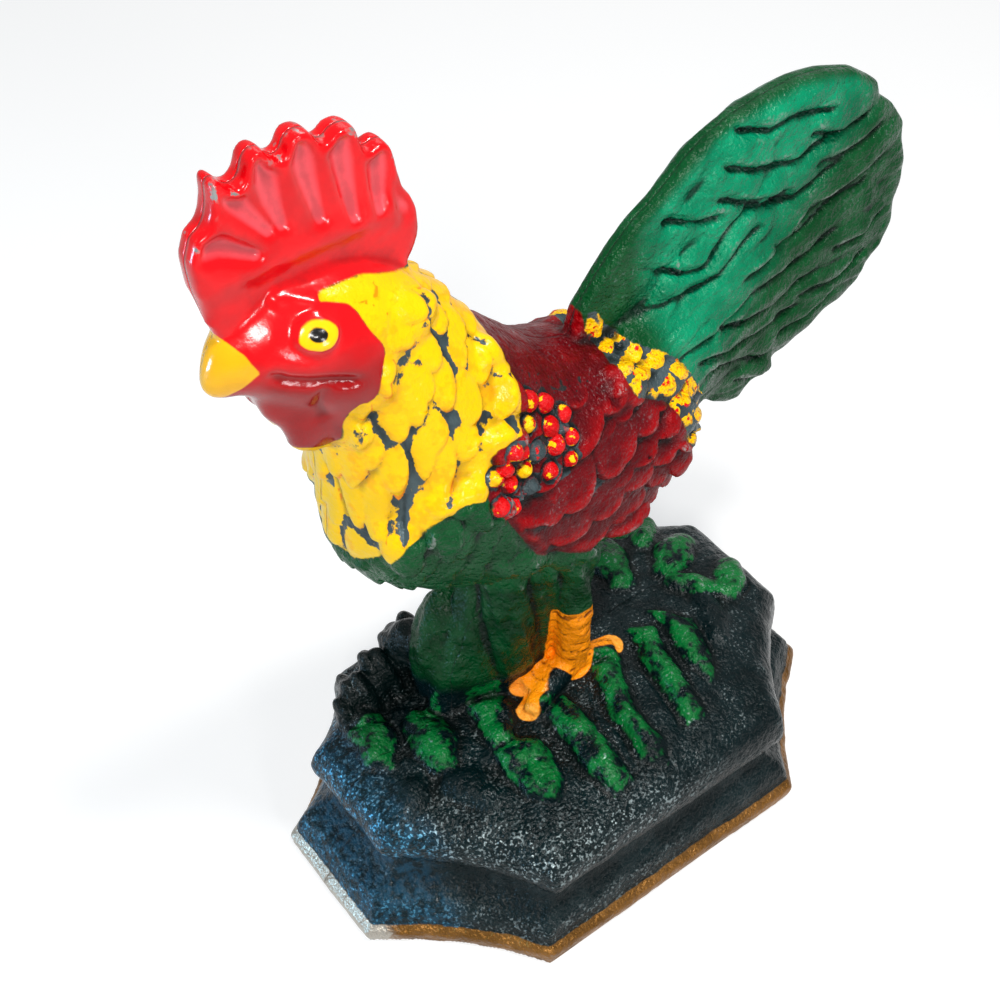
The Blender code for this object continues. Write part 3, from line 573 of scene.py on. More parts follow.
def spots(rows, points):
    """Distance inside the nearest of some round spots on the skin, on either side, and its tone."""
    best = np.full(len(points), -FAR)
    tone = np.zeros(len(points))
    for *middle, radius, shade in rows:
        for side in (1, -1):
            off = np.linalg.norm(points - np.array(middle) * (1, side, 1), axis=1)
            nearest = np.argmin(off)
            if off[nearest] > SPOT_REACH:
                continue
            within = radius - np.linalg.norm(points - points[nearest], axis=1)
            tone = np.where(within > best, shade, tone)
            best = np.maximum(best, within)
    return best, tone


def painted_zones(points):
    """The painted zones, as distances inside their borders in mm."""
    side, plan = points[:, [0, 2]], points[:, :2]
    iris = rounded(IRIS_OUTLINE)
    zone = {
        "hackle": inside(side, HACKLE_OUTLINE), "face": inside(side, rounded(FACE_OUTLINE)),
        "beak": inside(side, BEAK_OUTLINE), "iris": inside(side, iris),
        "pupil": inside(side, PUPIL_CENTRE + (iris - PUPIL_CENTRE) * PUPIL_SHARE),
        "wing": inside(side, WING_OUTLINE), "root": inside(side, ROOT_OUTLINE),
        "comb": inside(side, COMB_OUTLINE), "tail": inside(side, TAIL_OUTLINE),
        "tuft": np.minimum(inside(plan, TUFT), points[:, 2] - 46),
    }
    zone["bead"], zone["bead_tone"] = spots(BEADS, points)
    zone["patch"], _ = spots([(*row, 0) for row in PATCHES], points)
    stray = np.stack([rough(points, 8, 91), rough(points, 8, 92)], 1)
    leaf, lump = leaf_field(plan + 1.3 * stray)
    off_mound = soft(66, 60, points[:, 2]) * soft(40, 45, points[:, 2]) * 60 - 60
    zone["leaf"], zone["lump"] = leaf + off_mound, lump + off_mound
    return zone


class Carving:
    """The carving's sizes in mm, and the body that it follows."""

    def __init__(self, sizes):
        self.size = {name: getattr(sizes, name) / MM for name in CastingSizes.__annotations__
                     if name != "hackle_columns"}
        self.columns = sizes.hackle_columns
        self.body = BodyMap()

    def relief(self, points, normals):
        """Height of the relief in mm, and the fields that paint it."""
        relief = Relief(self, points, normals)
        for carve in (
                relief.neck, relief.wing, relief.tail_root, relief.belly, relief.beads,
                relief.comb, relief.tail, relief.head, relief.leaves, relief.trunk,
                relief.legs, relief.cast_grain):
            carve()
        return relief.height, relief.painted()


class Relief:
    """The relief over some points of the skin, carved one part after another.

    Each part adds to the height, marks its grooves and crests, and keeps what paints it.
    """

    def __init__(self, carving, points, normals):
        self.size, self.columns = carving.size, carving.columns
        self.points, self.normals, self.side = points, normals, points[:, [0, 2]]
        self.place, self.zone = carving.body.place(points), painted_zones(points)
        self.bird = soft(98, 104, points[:, 2])
        reach = self.place["reach"]
        self.on_body = soft(1.45, 1.2, reach) * soft(0.75, 0.86, reach) * self.bird
        self.warp = rough(points, 15, 3) * 0.28
        turn, way, around = math.radians(WING_TURN), self.place["way"], self.place["around"]
        self.wing_way = way * math.cos(turn) + around * math.sin(turn)
        self.wing_across = -way * math.sin(turn) + around * math.cos(turn)
        self.height, self.groove, self.crest, self.edge = np.zeros((4, len(points)))
        self.fields = {}

    def rough(self, size, seed):
        return rough(self.points, size, seed)

    def sink(self, share):
        self.groove = np.maximum(self.groove, share)

    def stand(self, share):
        self.crest = np.maximum(self.crest, share)

    def neck(self):
        way, angle = self.place["way"], self.place["angle"]
        feather, border = shingles(
            way / self.size["hackle_row"] + self.warp + 0.14 * self.rough(7, 5),
            angle / math.pi * self.columns + self.warp * 1.1, 0.75, 0.75, 11, 0.2)
        fade = soft(-1.0, 2.5, self.zone["hackle"]) * self.on_body
        lower = soft(26, 46, way) * 0.8 + 0.2
        self.height += fade * lower * self.size["hackle_depth"] * (feather - 0.35)
        self.sink(fade * lower * (soft(0.52, 0.2, feather) * soft(-0.5, 0.0, self.rough(9, 61))))
        self.stand(fade * soft(0.8, 1.0, feather))
        self.edge = fade * border

    def wing(self):
        """Broad scallops in front and small ones at the rear."""
        kinds = []
        for share, width, warp, roundness, seed, wander in (
                (1.0, 1.0, 0.8, 0.8, 23, 0.12), (0.66, 0.6, 0.6, 0.7, 29, 0.1)):
            kinds.append(shingles(
                self.wing_way / (share * self.size["wing_row"]) + self.warp * warp,
                self.wing_across / (width * self.size["wing_width"]) + self.warp * warp,
                roundness, 0.5, seed, wander, 1.7, 1.3))
        rear = soft(-4, 24, self.points[:, 0])
        feather, border = (mix(broad, small, rear) for broad, small in zip(*kinds))
        fade = soft(-0.5, 3.0, self.zone["wing"]) * self.on_body
        fade = fade * soft(0.6, 0.9, self.place["angle"] + 0.3 * rear)
        fade = fade * soft(1.0, -1.5, self.zone["bead"])
        self.height += fade * self.size["wing_depth"] * (feather - 0.3)
        self.sink(fade * (soft(0.36, 0.14, feather) * soft(0.1, 0.5, self.rough(9, 67))))
        self.stand(fade * soft(0.75, 0.98, feather))
        self.edge = np.maximum(self.edge, fade * border * 0.6)

    def tail_root(self):
        """Small scallops, yellow in patches."""
        scallop, _ = shingles(
            self.wing_way / 6.0 + self.warp * 0.5, self.wing_across / 7.0 + self.warp * 0.5,
            0.7, 0.5, 37, 0.16, 1.7, 1.3)
        fade = soft(-0.5, 2.0, self.zone["root"]) * self.on_body
        self.height += fade * 2.0 * (scallop - 0.35)
        patch = np.maximum(self.zone["patch"], 2.2 * self.rough(8, 73) - 0.1)
        self.fields["yellow"] = np.where(scallop > 0.4, patch, -3.0)

    def belly(self):
        way, around = self.place["way"], self.place["around"]
        scale, _ = shingles(
            (way - 0.25 * around) / self.size["scale_size"] + self.warp * 0.5,
            around / self.size["scale_size"], 0.55, 0.3, 31, 0.06)
        belly = np.minimum.reduce([-self.zone[name] for name in ("wing", "hackle", "face")])
        fade = soft(0, 2.0, belly) * self.on_body * soft(0, -2.0, self.zone["tail"])
        self.height += fade * self.size["scale_depth"] * (scale - 0.3)
        self.sink(0.75 * fade * soft(0.4, 0.15, scale))
        self.fields["belly"] = soft(-1, 1, belly) * self.on_body

    def beads(self):
        """Round beads, each in a shallow pit."""
        within = self.zone["bead"]
        dome = np.sqrt(np.clip(within, 0, None) * 4)
        self.height += self.bird * np.clip(dome, 0, 3.0)
        pit = soft(-1.8, -0.5, within) * soft(0.3, -0.3, within)
        self.height -= self.bird * 0.7 * pit
        self.sink(self.bird * 0.8 * pit)
        self.edge = self.edge * soft(1.0, -1.0, within)

    def comb(self):
        """Hollow flutes from the comb's tips to its foot."""
        height = self.points[:, 2]
        comb = soft(0.5, 3, self.zone["comb"]) * soft(240, 247, height)
        comb = comb * soft(0.2, 0.7, np.abs(self.normals[:, 1]))
        flute = np.zeros(len(height))
        for line in COMB_FLUTES:
            away, _, share = along(self.side, line)
            gouge = np.clip(1 - (away / mix(5.0, 2.0, share)) ** 2, 0, 1)
            self.height -= comb * self.size["comb_depth"] * mix(1.0, 0.6, share) * gouge
            flute = np.maximum(flute, comb * gouge)
        self.stand(soft(3.4, 1.0, self.zone["comb"]) * soft(246, 256, height))
        # Where the comb's flutes lie, which the paint lightens to a painted pink sheen
        self.fields["flute"] = flute

    def tail(self):
        """Barbs and quills that fan out from the tail's root, and grooves between its feathers."""
        x, z = self.side.T
        tail = soft(0, 3, self.zone["tail"]) * soft(24, 38, x + self.rough(9, 2) * 2)
        fan = np.arctan2(z - 150, x + 25)
        reach = np.hypot(z - 150, x + 25)
        still = np.zeros(len(x))
        barbs = rough(np.stack([fan * 46 + reach * 0.03, reach * 0.07, still], 1), 1, 17)
        barbs += 0.5 * rough(np.stack([fan * 100, reach * 0.1, still], 1), 1, 19)
        self.height += tail * 0.35 * barbs
        quill, _ = shingles(reach / 38 + self.warp * 0.5, fan * 10.5 + 0.35 * self.rough(26, 81)
                            + reach * 0.006, 0.5, 0.75, 83, 0.2)
        self.height += tail * 2.0 * (quill - 0.45)
        for line in TAIL_GROOVES:
            away, which, share = along(self.side, line)
            ends = soft(0, 0.12, share) * soft(1.0, 0.92, share)
            away = away + 0.5 * self.rough(5, 87)
            cut = np.exp(-(away / 1.5) ** 2)
            lift = np.exp(-np.abs(away) / 5) * np.where(which > 0, 0.66, -0.25)
            self.height += tail * ends * self.size["tail_depth"] * (lift - cut)
            self.sink(0.7 * tail * ends * np.exp(-(away / 0.9) ** 2))
            self.stand(tail * ends * np.exp(-np.abs(which * away - 3) / 1.5))
        self.fields["on_tail"] = tail

    def head(self):
        """The eye in its socket, and the creases of the face."""
        iris = self.zone["iris"]
        ring = soft(-1.4, 0.4, iris) * soft(1.8, 0.6, iris)
        dome = soft(0.4, 3.2, iris)
        socket = soft(-5, -1.6, iris) * soft(-0.2, -1.4, iris)
        head = soft(-58, -62, self.points[:, 0]) * self.bird
        self.height += head * (0.45 * ring + 0.6 * dome - 0.5 * socket)
        for line, depth, width in FACE_CREASES:
            away, _, share = along(self.side, line)
            ends = soft(0, 0.2, share) * soft(1, 0.8, share)
            self.height -= head * ends * depth * np.exp(-(away / width) ** 2)

    def leaves(self):
        """Leaves and lumps that lie on the mound, each leaf with a shallow moat."""
        leaf_in, lump_in = self.zone["leaf"], self.zone["lump"]
        leaf, lump = soft(-2.0, 1.0, leaf_in), soft(-2.0, 1.0, lump_in)
        rise = domed((leaf_in + 2) / 7) * (1 + 0.3 * self.rough(6, 71))
        bulge = domed((lump_in + 2) / 7)
        top = soft(0.3, 0.7, self.normals[:, 2]) * soft(66, 60, self.points[:, 2])
        self.height += top * self.size["leaf_rise"] * (leaf * rise + 0.8 * lump * bulge)
        self.height -= top * 0.8 * (soft(-2.6, -0.4, leaf_in) * (1 - leaf))
        self.stand(top * 0.7 * np.maximum(leaf * rise, lump * bulge)
                   * soft(0.1, -0.3, self.rough(11, 9)))

    def trunk(self):
        """Tall ribbed leaves round the support under the bird."""
        x, y, z = self.points.T
        trunk = soft(58, 64, z) * soft(116, 106, z) * soft(0.9, 1.1, self.place["reach"])
        turn = np.arctan2(y - 6, x + 10)
        leaves = np.abs(np.sin(turn * 3.5 + z * 0.035 + 0.6 * self.rough(14, 43)))
        ribs = np.sin(turn * 24 + z * 0.3)
        self.height += trunk * (2.2 * leaves - 1.0 + 0.35 * ribs + 0.35 * self.rough(3, 41))
        self.fields["trunk"] = trunk

    def legs(self):
        """Bands round the legs and toes."""
        leg, way, claw = leg_field(self.points)
        band = soft(0.75, 1.0, np.cos(way * 2 * math.pi / BAND_STEP))
        self.height -= soft(0, 1, leg) * 0.3 * band
        self.fields.update(leg=leg, leg_band=soft(0, 1, leg) * band * (1 - claw), claw=claw)

    def cast_grain(self):
        """Grain of the cast iron, plainest on the face."""
        plumage = np.maximum(soft(-1, 1, self.zone["wing"]), 0.25)
        grit = np.where(self.bird > 0.5, plumage, 1.0) * soft(1, -1, self.zone["face"])
        self.height += self.size["grain_depth"] * grit * (self.rough(1.7, 51) + self.rough(3.1, 52))
        self.height += np.where(self.bird > 0.5, 0.15, 0.4) * self.rough(9, 53)

    def painted(self):
        """All fields that paint the casting."""
        for name in ("hackle", "face", "beak", "iris", "pupil", "wing", "root", "bead",
                     "bead_tone", "leaf", "tuft"):
            self.fields[name] = self.zone[name]
        self.fields.update(groove=self.groove, crest=self.crest, feather_edge=self.edge)
        return self.fields


# Castings

def select_only(*objects):
    bpy.ops.object.select_all(action="DESELECT")
    for obj in objects:
        obj.select_set(True)
    bpy.context.view_layer.objects.active = objects[0]


def added(operator, **values):
    """A primitive added with nothing else selected."""
    bpy.ops.object.select_all(action="DESELECT")
    operator(**values)
    return bpy.context.view_layer.objects.active


def linked(name, data):
    """A new object in the scene."""
    obj = bpy.data.objects.new(name, data)
    bpy.context.scene.collection.objects.link(obj)
    return obj


def joined(*objects):
    select_only(*objects)
    bpy.ops.object.join()
    return bpy.context.view_layer.objects.active


def merge_points(obj, outwards=False):
    """Joins loose triangles at their corners, and turns the faces outwards if asked."""
    select_only(obj)
    bpy.ops.object.mode_set(mode="EDIT")
    bpy.ops.mesh.select_all(action="SELECT")
    bpy.ops.mesh.remove_doubles(threshold=1e-6)
    if outwards:
        bpy.ops.mesh.normals_make_consistent(inside=False)
    bpy.ops.object.mode_set(mode="OBJECT")


def apply_step(obj, name, kind, **values):
    """Adds a modifier and applies it."""
    select_only(obj)
    step = obj.modifiers.new(name, kind)
    for key, value in values.items():
        setattr(step, key, value)
    bpy.ops.object.modifier_apply(modifier=step.name)


def read_points(mesh, what="co"):
    numbers = np.empty(len(mesh.vertices) * 3)
    mesh.vertices.foreach_get(what, numbers)
    return numbers.reshape(-1, 3)


def write_points(mesh, points):
    mesh.vertices.foreach_set("co", points.ravel())
    mesh.update()


def to_drawing(points):
    return (points - np.array(drawing_origin())) / MM


def to_frame(points):
    return points * MM + np.array(drawing_origin())


def edge_pairs(mesh):
    pairs = np.empty(len(mesh.edges) * 2, np.int32)
    mesh.edges.foreach_get("vertices", pairs)
    return pairs.reshape(-1, 2)


def unpainted_copy(node):
    """A copy of a node's mesh without its materials."""
    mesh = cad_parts[node].data.copy()
    mesh.materials.clear()
    return mesh


def casting_copies():
    """Copies of both castings with the comb and the tail drawn in, as one mesh object."""
    copies = []
    for name, shift in zip(CASTINGS, (0.2, -0.2)):
        mesh = unpainted_copy(name)
        points = to_drawing(read_points(mesh))
        side = points[:, [0, 2]]
        comb = soft(-6, -3, inside(side, COMB_OUTLINE)) * soft(238, 243, points[:, 2])
        comb *= soft(4.6, 4.4, np.abs(points[:, 1])) * soft(-38, -40, points[:, 0])
        tail = soft(44, 60, points[:, 0]) * soft(112, 118, points[:, 2])
        points[:, 1] *= 1 - 0.75 * np.maximum(comb, tail)
        points[:, [0, 2]] += comb[:, None] * 0.16 * (np.array((-65, 246)) - side)
        points[:, [0, 2]] += tail[:, None] * 0.12 * (np.array((62, 165)) - side)
        points[:, 1] += shift
        write_points(mesh, to_frame(points))
        copies.append(linked(name + "_copy", mesh))
    whole = joined(*copies)
    merge_points(whole)
    return whole


def side_plate(name, outline, half, rounding):
    """A plate on the seam with a side-view outline and a rounded rim."""
    curve = bpy.data.curves.new(name, "CURVE")
    curve.dimensions = "2D"
    curve.fill_mode = "BOTH"
    curve.extrude = (half - rounding) * MM
    curve.bevel_depth = rounding * MM
    curve.bevel_resolution = 3
    curve.offset = -rounding * MM
    spline = curve.splines.new("POLY")
    spline.points.add(len(outline) - 1)
    spline.use_cyclic_u = True
    for knot, (x, z) in zip(spline.points, outline):
        knot.co = (x * MM, z * MM, 0, 1)
    select_only(linked(name, curve))
    bpy.ops.object.convert(target="MESH")
    plate = bpy.context.view_layer.objects.active
    turn = Matrix.Translation(drawing_origin()) @ Matrix.Rotation(math.pi / 2, 4, "X")
    plate.data.transform(turn)
    merge_points(plate, outwards=True)
    return plate


def leaf_forms():
    """Fuller leaves than the model's: broad ones up the trunk, pointed ones in the tuft."""
    forms = []
    for middle, radii, (lean, tip) in TRUNK_LEAVES + TUFT_BLADES:
        leaf = added(bpy.ops.mesh.primitive_uv_sphere_add, segments=20, ring_count=12, radius=1)
        turn = Matrix.Rotation(math.radians(lean), 4, "Y") @ Matrix.Rotation(
            math.radians(tip), 4, "X")
        scale = Matrix.Diagonal((*(Vector(radii) * MM), 1))
        place = Matrix.Translation(drawing_origin() + Vector(middle) * MM)
        leaf.data.transform(place @ turn @ scale)
        forms.append(leaf)
    return forms


def formed(points, normals, body):
    """The plain form under the carving: smooth body, and comb and tail of the right thickness."""
    side = points[:, [0, 2]]
    place = body.place(points)
    comb, tail = inside(side, COMB_OUTLINE), inside(side, TAIL_OUTLINE)
    plumage = np.maximum(inside(side, HACKLE_OUTLINE), inside(side, WING_OUTLINE))
    share = soft(1.5, 6, plumage) * soft(1.42, 1.3, place["reach"])
    share = share * soft(0.8, 0.9, place["reach"])
    share *= soft(2.75, 2.45, place["angle"]) * soft(104, 110, points[:, 2])
    share *= soft(32, 20, points[:, 0]) * soft(3, 6, -comb)
    points = mix(points, place["skin"], share[:, None])
    flank = soft(0.25, 0.6, np.abs(normals[:, 1]))
    sign = np.where(points[:, 1] < 0, -1.0, 1.0)
    half = np.interp(points[:, 0], *TAIL_HALF_WIDTHS) * (0.5 + 0.5 * np.sqrt(domed(tail / 14)))
    low, high, root = (np.interp(points[:, 0], TAIL_ROOT[0], row) for row in TAIL_ROOT[1:])
    spot = (points[:, 2] - (low + high) / 2) / ((high - low) / 2)
    half = np.maximum(half, root * np.sqrt(np.clip(1 - spot ** 2, 0, 1)) + 1.0)
    share = soft(1.5, 4, tail) * flank * soft(40, 52, points[:, 0])
    points[:, 1] = mix(points[:, 1], sign * half, share)
    half = mix(COMB_HALF, 6.0, soft(254, 243, points[:, 2]))
    share = soft(1.5, 3.5, comb) * flank * soft(243, 249, points[:, 2])
    points[:, 1] = mix(points[:, 1], sign * half, share)
    return points


def outer_skin(points, pairs, foot):
    """Marks the points that belong to the outside, with the ring under the foot."""
    kept = points[:, 2] > foot
    joints = pairs[kept[pairs[:, 0]] & kept[pairs[:, 1]]]
    label = np.arange(len(points))
    while True:
        lowest = np.minimum(label[joints[:, 0]], label[joints[:, 1]])
        fresh = label.copy()
        np.minimum.at(fresh, joints[:, 0], lowest)
        np.minimum.at(fresh, joints[:, 1], lowest)
        fresh = fresh[fresh]
        fresh = fresh[fresh]
        if np.array_equal(fresh, label):
            break
        label = fresh
    return ~kept | (label == label[np.argmax(points[:, 2])])


def relaxed(points, pairs, share, turns):
    """Points moved towards the middle of their neighbours, by a share that may vary."""
    count = np.bincount(pairs.ravel(), minlength=len(points))[:, None]
    for _ in range(turns):
        total = np.empty_like(points)
        for axis in range(3):
            total[:, axis] = (
                np.bincount(pairs[:, 0], points[pairs[:, 1], axis], len(points))
                + np.bincount(pairs[:, 1], points[pairs[:, 0], axis], len(points)))
        points = points + (total / np.maximum(count, 1) - points) * share
    return points


def turns(full, quick=2):
    return full


def mound_top(points, outer):
    """A smooth height over the plan, fitted under the mound's lumps."""
    x, y, z = points.T
    terms = np.stack([(x / 75) ** i * ((y + 8.5) / 50) ** j
                      for i in range(5) for j in range(5 - i)], 1)
    chosen = outer & (z > 43) & (z < 58) & (np.abs(x) < 72) & (y > -54) & (y < 37)
    rows, heights = terms[chosen], z[chosen]
    keep = np.ones(len(heights), bool)
    for limit in (6.0, 3.0, 1.5, 0.8, 0.5):
        factors = np.linalg.lstsq(rows[keep], heights[keep], rcond=None)[0]
        keep = heights < rows @ factors + limit
    return terms @ factors


def levelled(points, outer):
    """The mound with the model's own leaves pressed down, except at the trunk, legs and tuft."""
    plan, z = points[:, :2], points[:, 2]
    lump = z - mound_top(points, outer)
    leg, _, _ = leg_field(points)
    share = soft(46, 49, z) * soft(62, 58, z)
    share = share * soft(7.5, 5.5, lump) * soft(-1.5, 0.2, lump) * soft(-1, -3, leg)
    share *= soft(3, 6, -inside(plan, TRUNK_FOOT))
    share *= soft(1, -2, inside(plan, TUFT))
    points[:, 2] -= share * np.clip(lump, 0, None) * 0.9
    return points


def smoothed(points, pairs, still):
    """The plain form evened out, most of all on the cheeks."""
    share = 0.5 * (1 - 0.55 * soft(34, 20, points[:, 2]))[:, None]
    share[still] = 0
    points = relaxed(points, pairs, share, turns(7))
    side = points[:, [0, 2]]
    cheek = soft(0, 2.5, inside(side, FACE_OUTLINE)) * soft(-60, -63, points[:, 0])
    cheek *= soft(246, 241, points[:, 2]) * soft(-1.5, -3, inside(side, BEAK_OUTLINE))
    return relaxed(points, pairs, 0.6 * cheek[:, None], turns(34))


def eased(points, pairs, still):
    """The carved skin with its leaves and comb eased, inside the model's box and flat below."""
    height = points[:, 2]
    leaf = np.maximum(*leaf_field(points[:, :2]))
    leaf = soft(-4, -1, leaf) * soft(66, 60, height) * soft(40, 44, height)
    comb = soft(0, 3, inside(points[:, [0, 2]], COMB_OUTLINE)) * soft(236, 242, height)
    share = (0.45 * np.maximum(leaf, comb) + 0.02)[:, None]
    share[still] = 0
    points = relaxed(points, pairs, share, turns(5))
    low, high = (to_drawing(np.array(corner)) for corner in MODEL_BOX)
    points = np.clip(points, low + BOX_MARGIN, high - BOX_MARGIN)
    points[still & (points[:, 2] < FOOT_FLAT), 2] = 0.0
    return points


def thin_inside(obj, outer, ratio):
    """Decimates the hidden inner walls alone."""
    mesh = obj.data
    select_only(obj)
    corners = np.empty(len(mesh.loops), np.int32)
    mesh.loops.foreach_get("vertex_index", corners)
    starts = np.empty(len(mesh.polygons), np.int32)
    mesh.polygons.foreach_get("loop_start", starts)
    hidden = ~(np.maximum.reduceat(outer[corners].astype(np.int8), starts) > 0)
    for what in (mesh.vertices, mesh.edges):
        what.foreach_set("select", np.zeros(len(what), bool))
    mesh.polygons.foreach_set("select", hidden)
    bpy.ops.object.mode_set(mode="EDIT")
    bpy.ops.mesh.select_mode(type="FACE")
    bpy.ops.mesh.decimate(ratio=ratio)
    bpy.ops.object.mode_set(mode="OBJECT")


def cutting_block(low, high):
    block = added(bpy.ops.mesh.primitive_cube_add, size=1)
    block.data.transform(Matrix.LocRotScale((low + high) / 2, None, high - low))
    return block


def cutting_bar(centre, radius, start, end):
    """A round bar along Y, across the seam."""
    bar = added(bpy.ops.mesh.primitive_cylinder_add, vertices=48, radius=radius, depth=end - start)
    middle = Vector((centre.x, (start + end) / 2, centre.z))
    bar.data.transform(Matrix.Translation(middle) @ Matrix.Rotation(math.pi / 2, 4, "X"))
    return bar


def boolean(target, operation, tool):
    apply_step(target, "cut", "BOOLEAN", operation=operation, solver="MANIFOLD", object=tool)
    bpy.data.objects.remove(tool)


def carved_whole(carving, grain):
    """Both castings as one finely carved mesh, with what its skin says at each of its points."""
    whole = casting_copies()
    plates = [side_plate("comb_plate", COMB_OUTLINE, COMB_HALF, 1.8),
              side_plate("tail_plate", TAIL_OUTLINE, 3.4, 1.6)]
    whole = joined(whole, *plates, *leaf_forms())
    apply_step(whole, "grain", "REMESH", mode="VOXEL", voxel_size=grain)
    mesh = whole.data
    pairs = edge_pairs(mesh)
    points = read_points(mesh)
    outer = outer_skin(points, pairs, grain)
    points = to_drawing(points)
    still = ~outer | (points[:, 2] < FOOT_RING)
    points = formed(points, read_points(mesh, "normal"), carving.body)
    points = smoothed(levelled(points, outer), pairs, still)
    write_points(mesh, to_frame(points))
    normals = relaxed(read_points(mesh, "normal"), pairs, 0.5, 3)
    normals /= np.linalg.norm(normals, axis=1)[:, None] + 1e-9
    height, fields = carving.relief(points, normals)
    height[still] = 0
    points = eased(points + normals * height[:, None], pairs, still)
    write_points(mesh, to_frame(points))
    normals = read_points(mesh, "normal")
    even = relaxed(points, pairs, 0.7, 8)
    broad = relaxed(even, pairs, 0.7, turns(28, quick=8))
    skin = {name: fields[name] for name in SKIN_FIELDS}
    skin.update(points=points, outer=outer, lift=((points - even) * normals).sum(1),
                swell=((points - broad) * normals).sum(1))
    thin_inside(whole, outer, 0.1)
    return whole, skin


def halves_of(whole):
    """The whole parted at the seam, with its screw holes cut anew."""
    low, high = MODEL_BOX
    seam, gap = drawing_origin().y, SEAM_GAP / 2 * MM
    halves = []
    for name, start, end in zip(
            CASTINGS, (low.y - ROOM, seam + gap), (seam - gap, high.y + ROOM)):
        half = linked("painted_" + name, whole.data.copy())
        boolean(half, "INTERSECT", cutting_block(
            Vector((low.x - ROOM, start, low.z - ROOM)),
            Vector((high.x + ROOM, end, high.z + ROOM))))
        for screw in SCREWS:
            near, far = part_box(screw)
            centre, head = (near + far) / 2, (far.x - near.x) / 2
            boolean(half, "DIFFERENCE", cutting_bar(
                centre, HOLE_RADIUS * MM, near.y - 0.5 * MM, far.y + 2 * MM))
            boolean(half, "DIFFERENCE", cutting_bar(
                centre, head + 0.6 * MM, far.y - HEAD_SEAT * MM, far.y + 25 * MM))
        triangles = sum(len(face.vertices) - 2 for face in half.data.polygons)
        if not triangles:
            raise RuntimeError(name + " came out empty")
        if triangles > MOST_TRIANGLES:
            apply_step(half, "thin", "DECIMATE", ratio=MOST_TRIANGLES / triangles)
        halves.append(half)
    bpy.data.objects.remove(whole)
    return halves


def store_fields(mesh, carving, tree, skin):
    """Keeps on the mesh what the paint follows."""
    points = to_drawing(read_points(mesh))
    seamed = np.abs(points[:, 1]) < SEAM_GAP / 2 + 0.02
    near = np.array([tree.find(place)[1] for place in points])
    hidden = ~skin["outer"][near]
    _, fields = carving.relief(points, read_points(mesh, "normal"))
    for name in SKIN_FIELDS:
        fields[name] = skin[name][near]
    for name in ("lift", "swell"):
        fields[name] = np.where(hidden | seamed, 0.0, skin[name][near])
    fields.update(hidden=hidden & ~seamed, seam_face=seamed)
    for name, values in fields.items():
        field = mesh.attributes.new(name, "FLOAT", "POINT")
        field.data.foreach_set("value", values.astype(np.float32))


def build_castings(settings):
    carving = Carving(settings.sizes)
    whole, skin = carved_whole(carving, settings.sizes.grain * (1.0))
    tree = KDTree(len(skin["points"]))
    for k, place in enumerate(skin["points"]):
        tree.insert(place, k)
    tree.balance()
    paint = enamel(settings.colours)
    for half, node in zip(halves_of(whole), CASTINGS):
        half.data.shade_smooth()
        store_fields(half.data, carving, tree, skin)
        half.data.materials.clear()
        half.data.materials.append(paint)
        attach(half, "root")
        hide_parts(node)


# Materials

class Nodes:
    """Short calls that add and join the nodes of a material or a world."""

    def __init__(self, owner):
        owner.use_nodes = True
        self.owner, self.tree = owner, owner.node_tree
        self.tree.nodes.clear()
        self.known = {}

    def made(self, kind, output, inputs, **values):
        """Adds a node, joins or sets its inputs, and gives one of its outputs."""
        node = self.tree.nodes.new(kind)
        for key, value in values.items():
            setattr(node, key, value)
        for key, value in inputs.items():
            socket = node.inputs[key]
            if isinstance(value, bpy.types.NodeSocket):
                self.tree.links.new(value, socket)
            elif socket.type == "RGBA" and len(value) == 3:
                socket.default_value = (*value, 1.0)
            else:
                socket.default_value = value
        return node.outputs[output] if output is not None else node

    def once(self, key, *node, **values):
        """Like made, but each key's node is added only the first time."""
        if key not in self.known:
            self.known[key] = self.made(*node, **values)
        return self.known[key]

    def place(self):
        return self.once("place", "ShaderNodeTexCoord", "Object", {})

    def field(self, name):
        return self.once(name, "ShaderNodeAttribute", "Fac", {}, attribute_name=name)

    def ray(self, name):
        return self.once("rays", "ShaderNodeLightPath", None, {}).outputs[name]

    def seen(self):
        """1 for the camera, gloss and clear materials, and 0 for other light."""
        return self.most(*(self.ray(name) for name in (
            "Is Camera Ray", "Is Glossy Ray", "Is Transmission Ray")))

    def noise(self, size, detail=3.0, roughness=0.55):
        """Noise from 0 to 1 with lumps of size mm."""
        return self.made("ShaderNodeTexNoise", "Fac", {
            "Vector": self.place(), "Scale": 1 / (size * MM), "Detail": detail,
            "Roughness": roughness})

    def work(self, operation, *values):
        return self.made("ShaderNodeMath", 0, dict(enumerate(values)), operation=operation)

    def times(self, first, *others):
        for other in others:
            first = self.work("MULTIPLY", first, other)
        return first

    def most(self, first, *others):
        for other in others:
            first = self.work("MAXIMUM", first, other)
        return first

    def plus(self, first, second, share=1.0):
        """The first and a share of the second."""
        return self.work("MULTIPLY_ADD", second, share, first)

    def rest(self, share):
        return self.work("SUBTRACT", 1.0, share)

    def ramp(self, value, low, high, start=0.0, end=1.0):
        return self.made("ShaderNodeMapRange", "Result", {
            "Value": value, "From Min": low, "From Max": high, "To Min": start, "To Max": end,
        }, interpolation_type="SMOOTHSTEP")

    def mix(self, share, first, second):
        return self.made("ShaderNodeMix", 2, {0: share, 6: first, 7: second}, data_type="RGBA")

    def blend(self, share, first, second):
        return self.made("ShaderNodeMix", 0, {0: share, 2: first, 3: second}, data_type="FLOAT")

    def bump(self, height, distance, strength):
        return self.made("ShaderNodeBump", "Normal", {
            "Height": height, "Distance": distance * MM, "Strength": strength})

    def finish(self, surface, kind="ShaderNodeOutputMaterial"):
        self.made(kind, None, {"Surface": surface})
        return self.owner


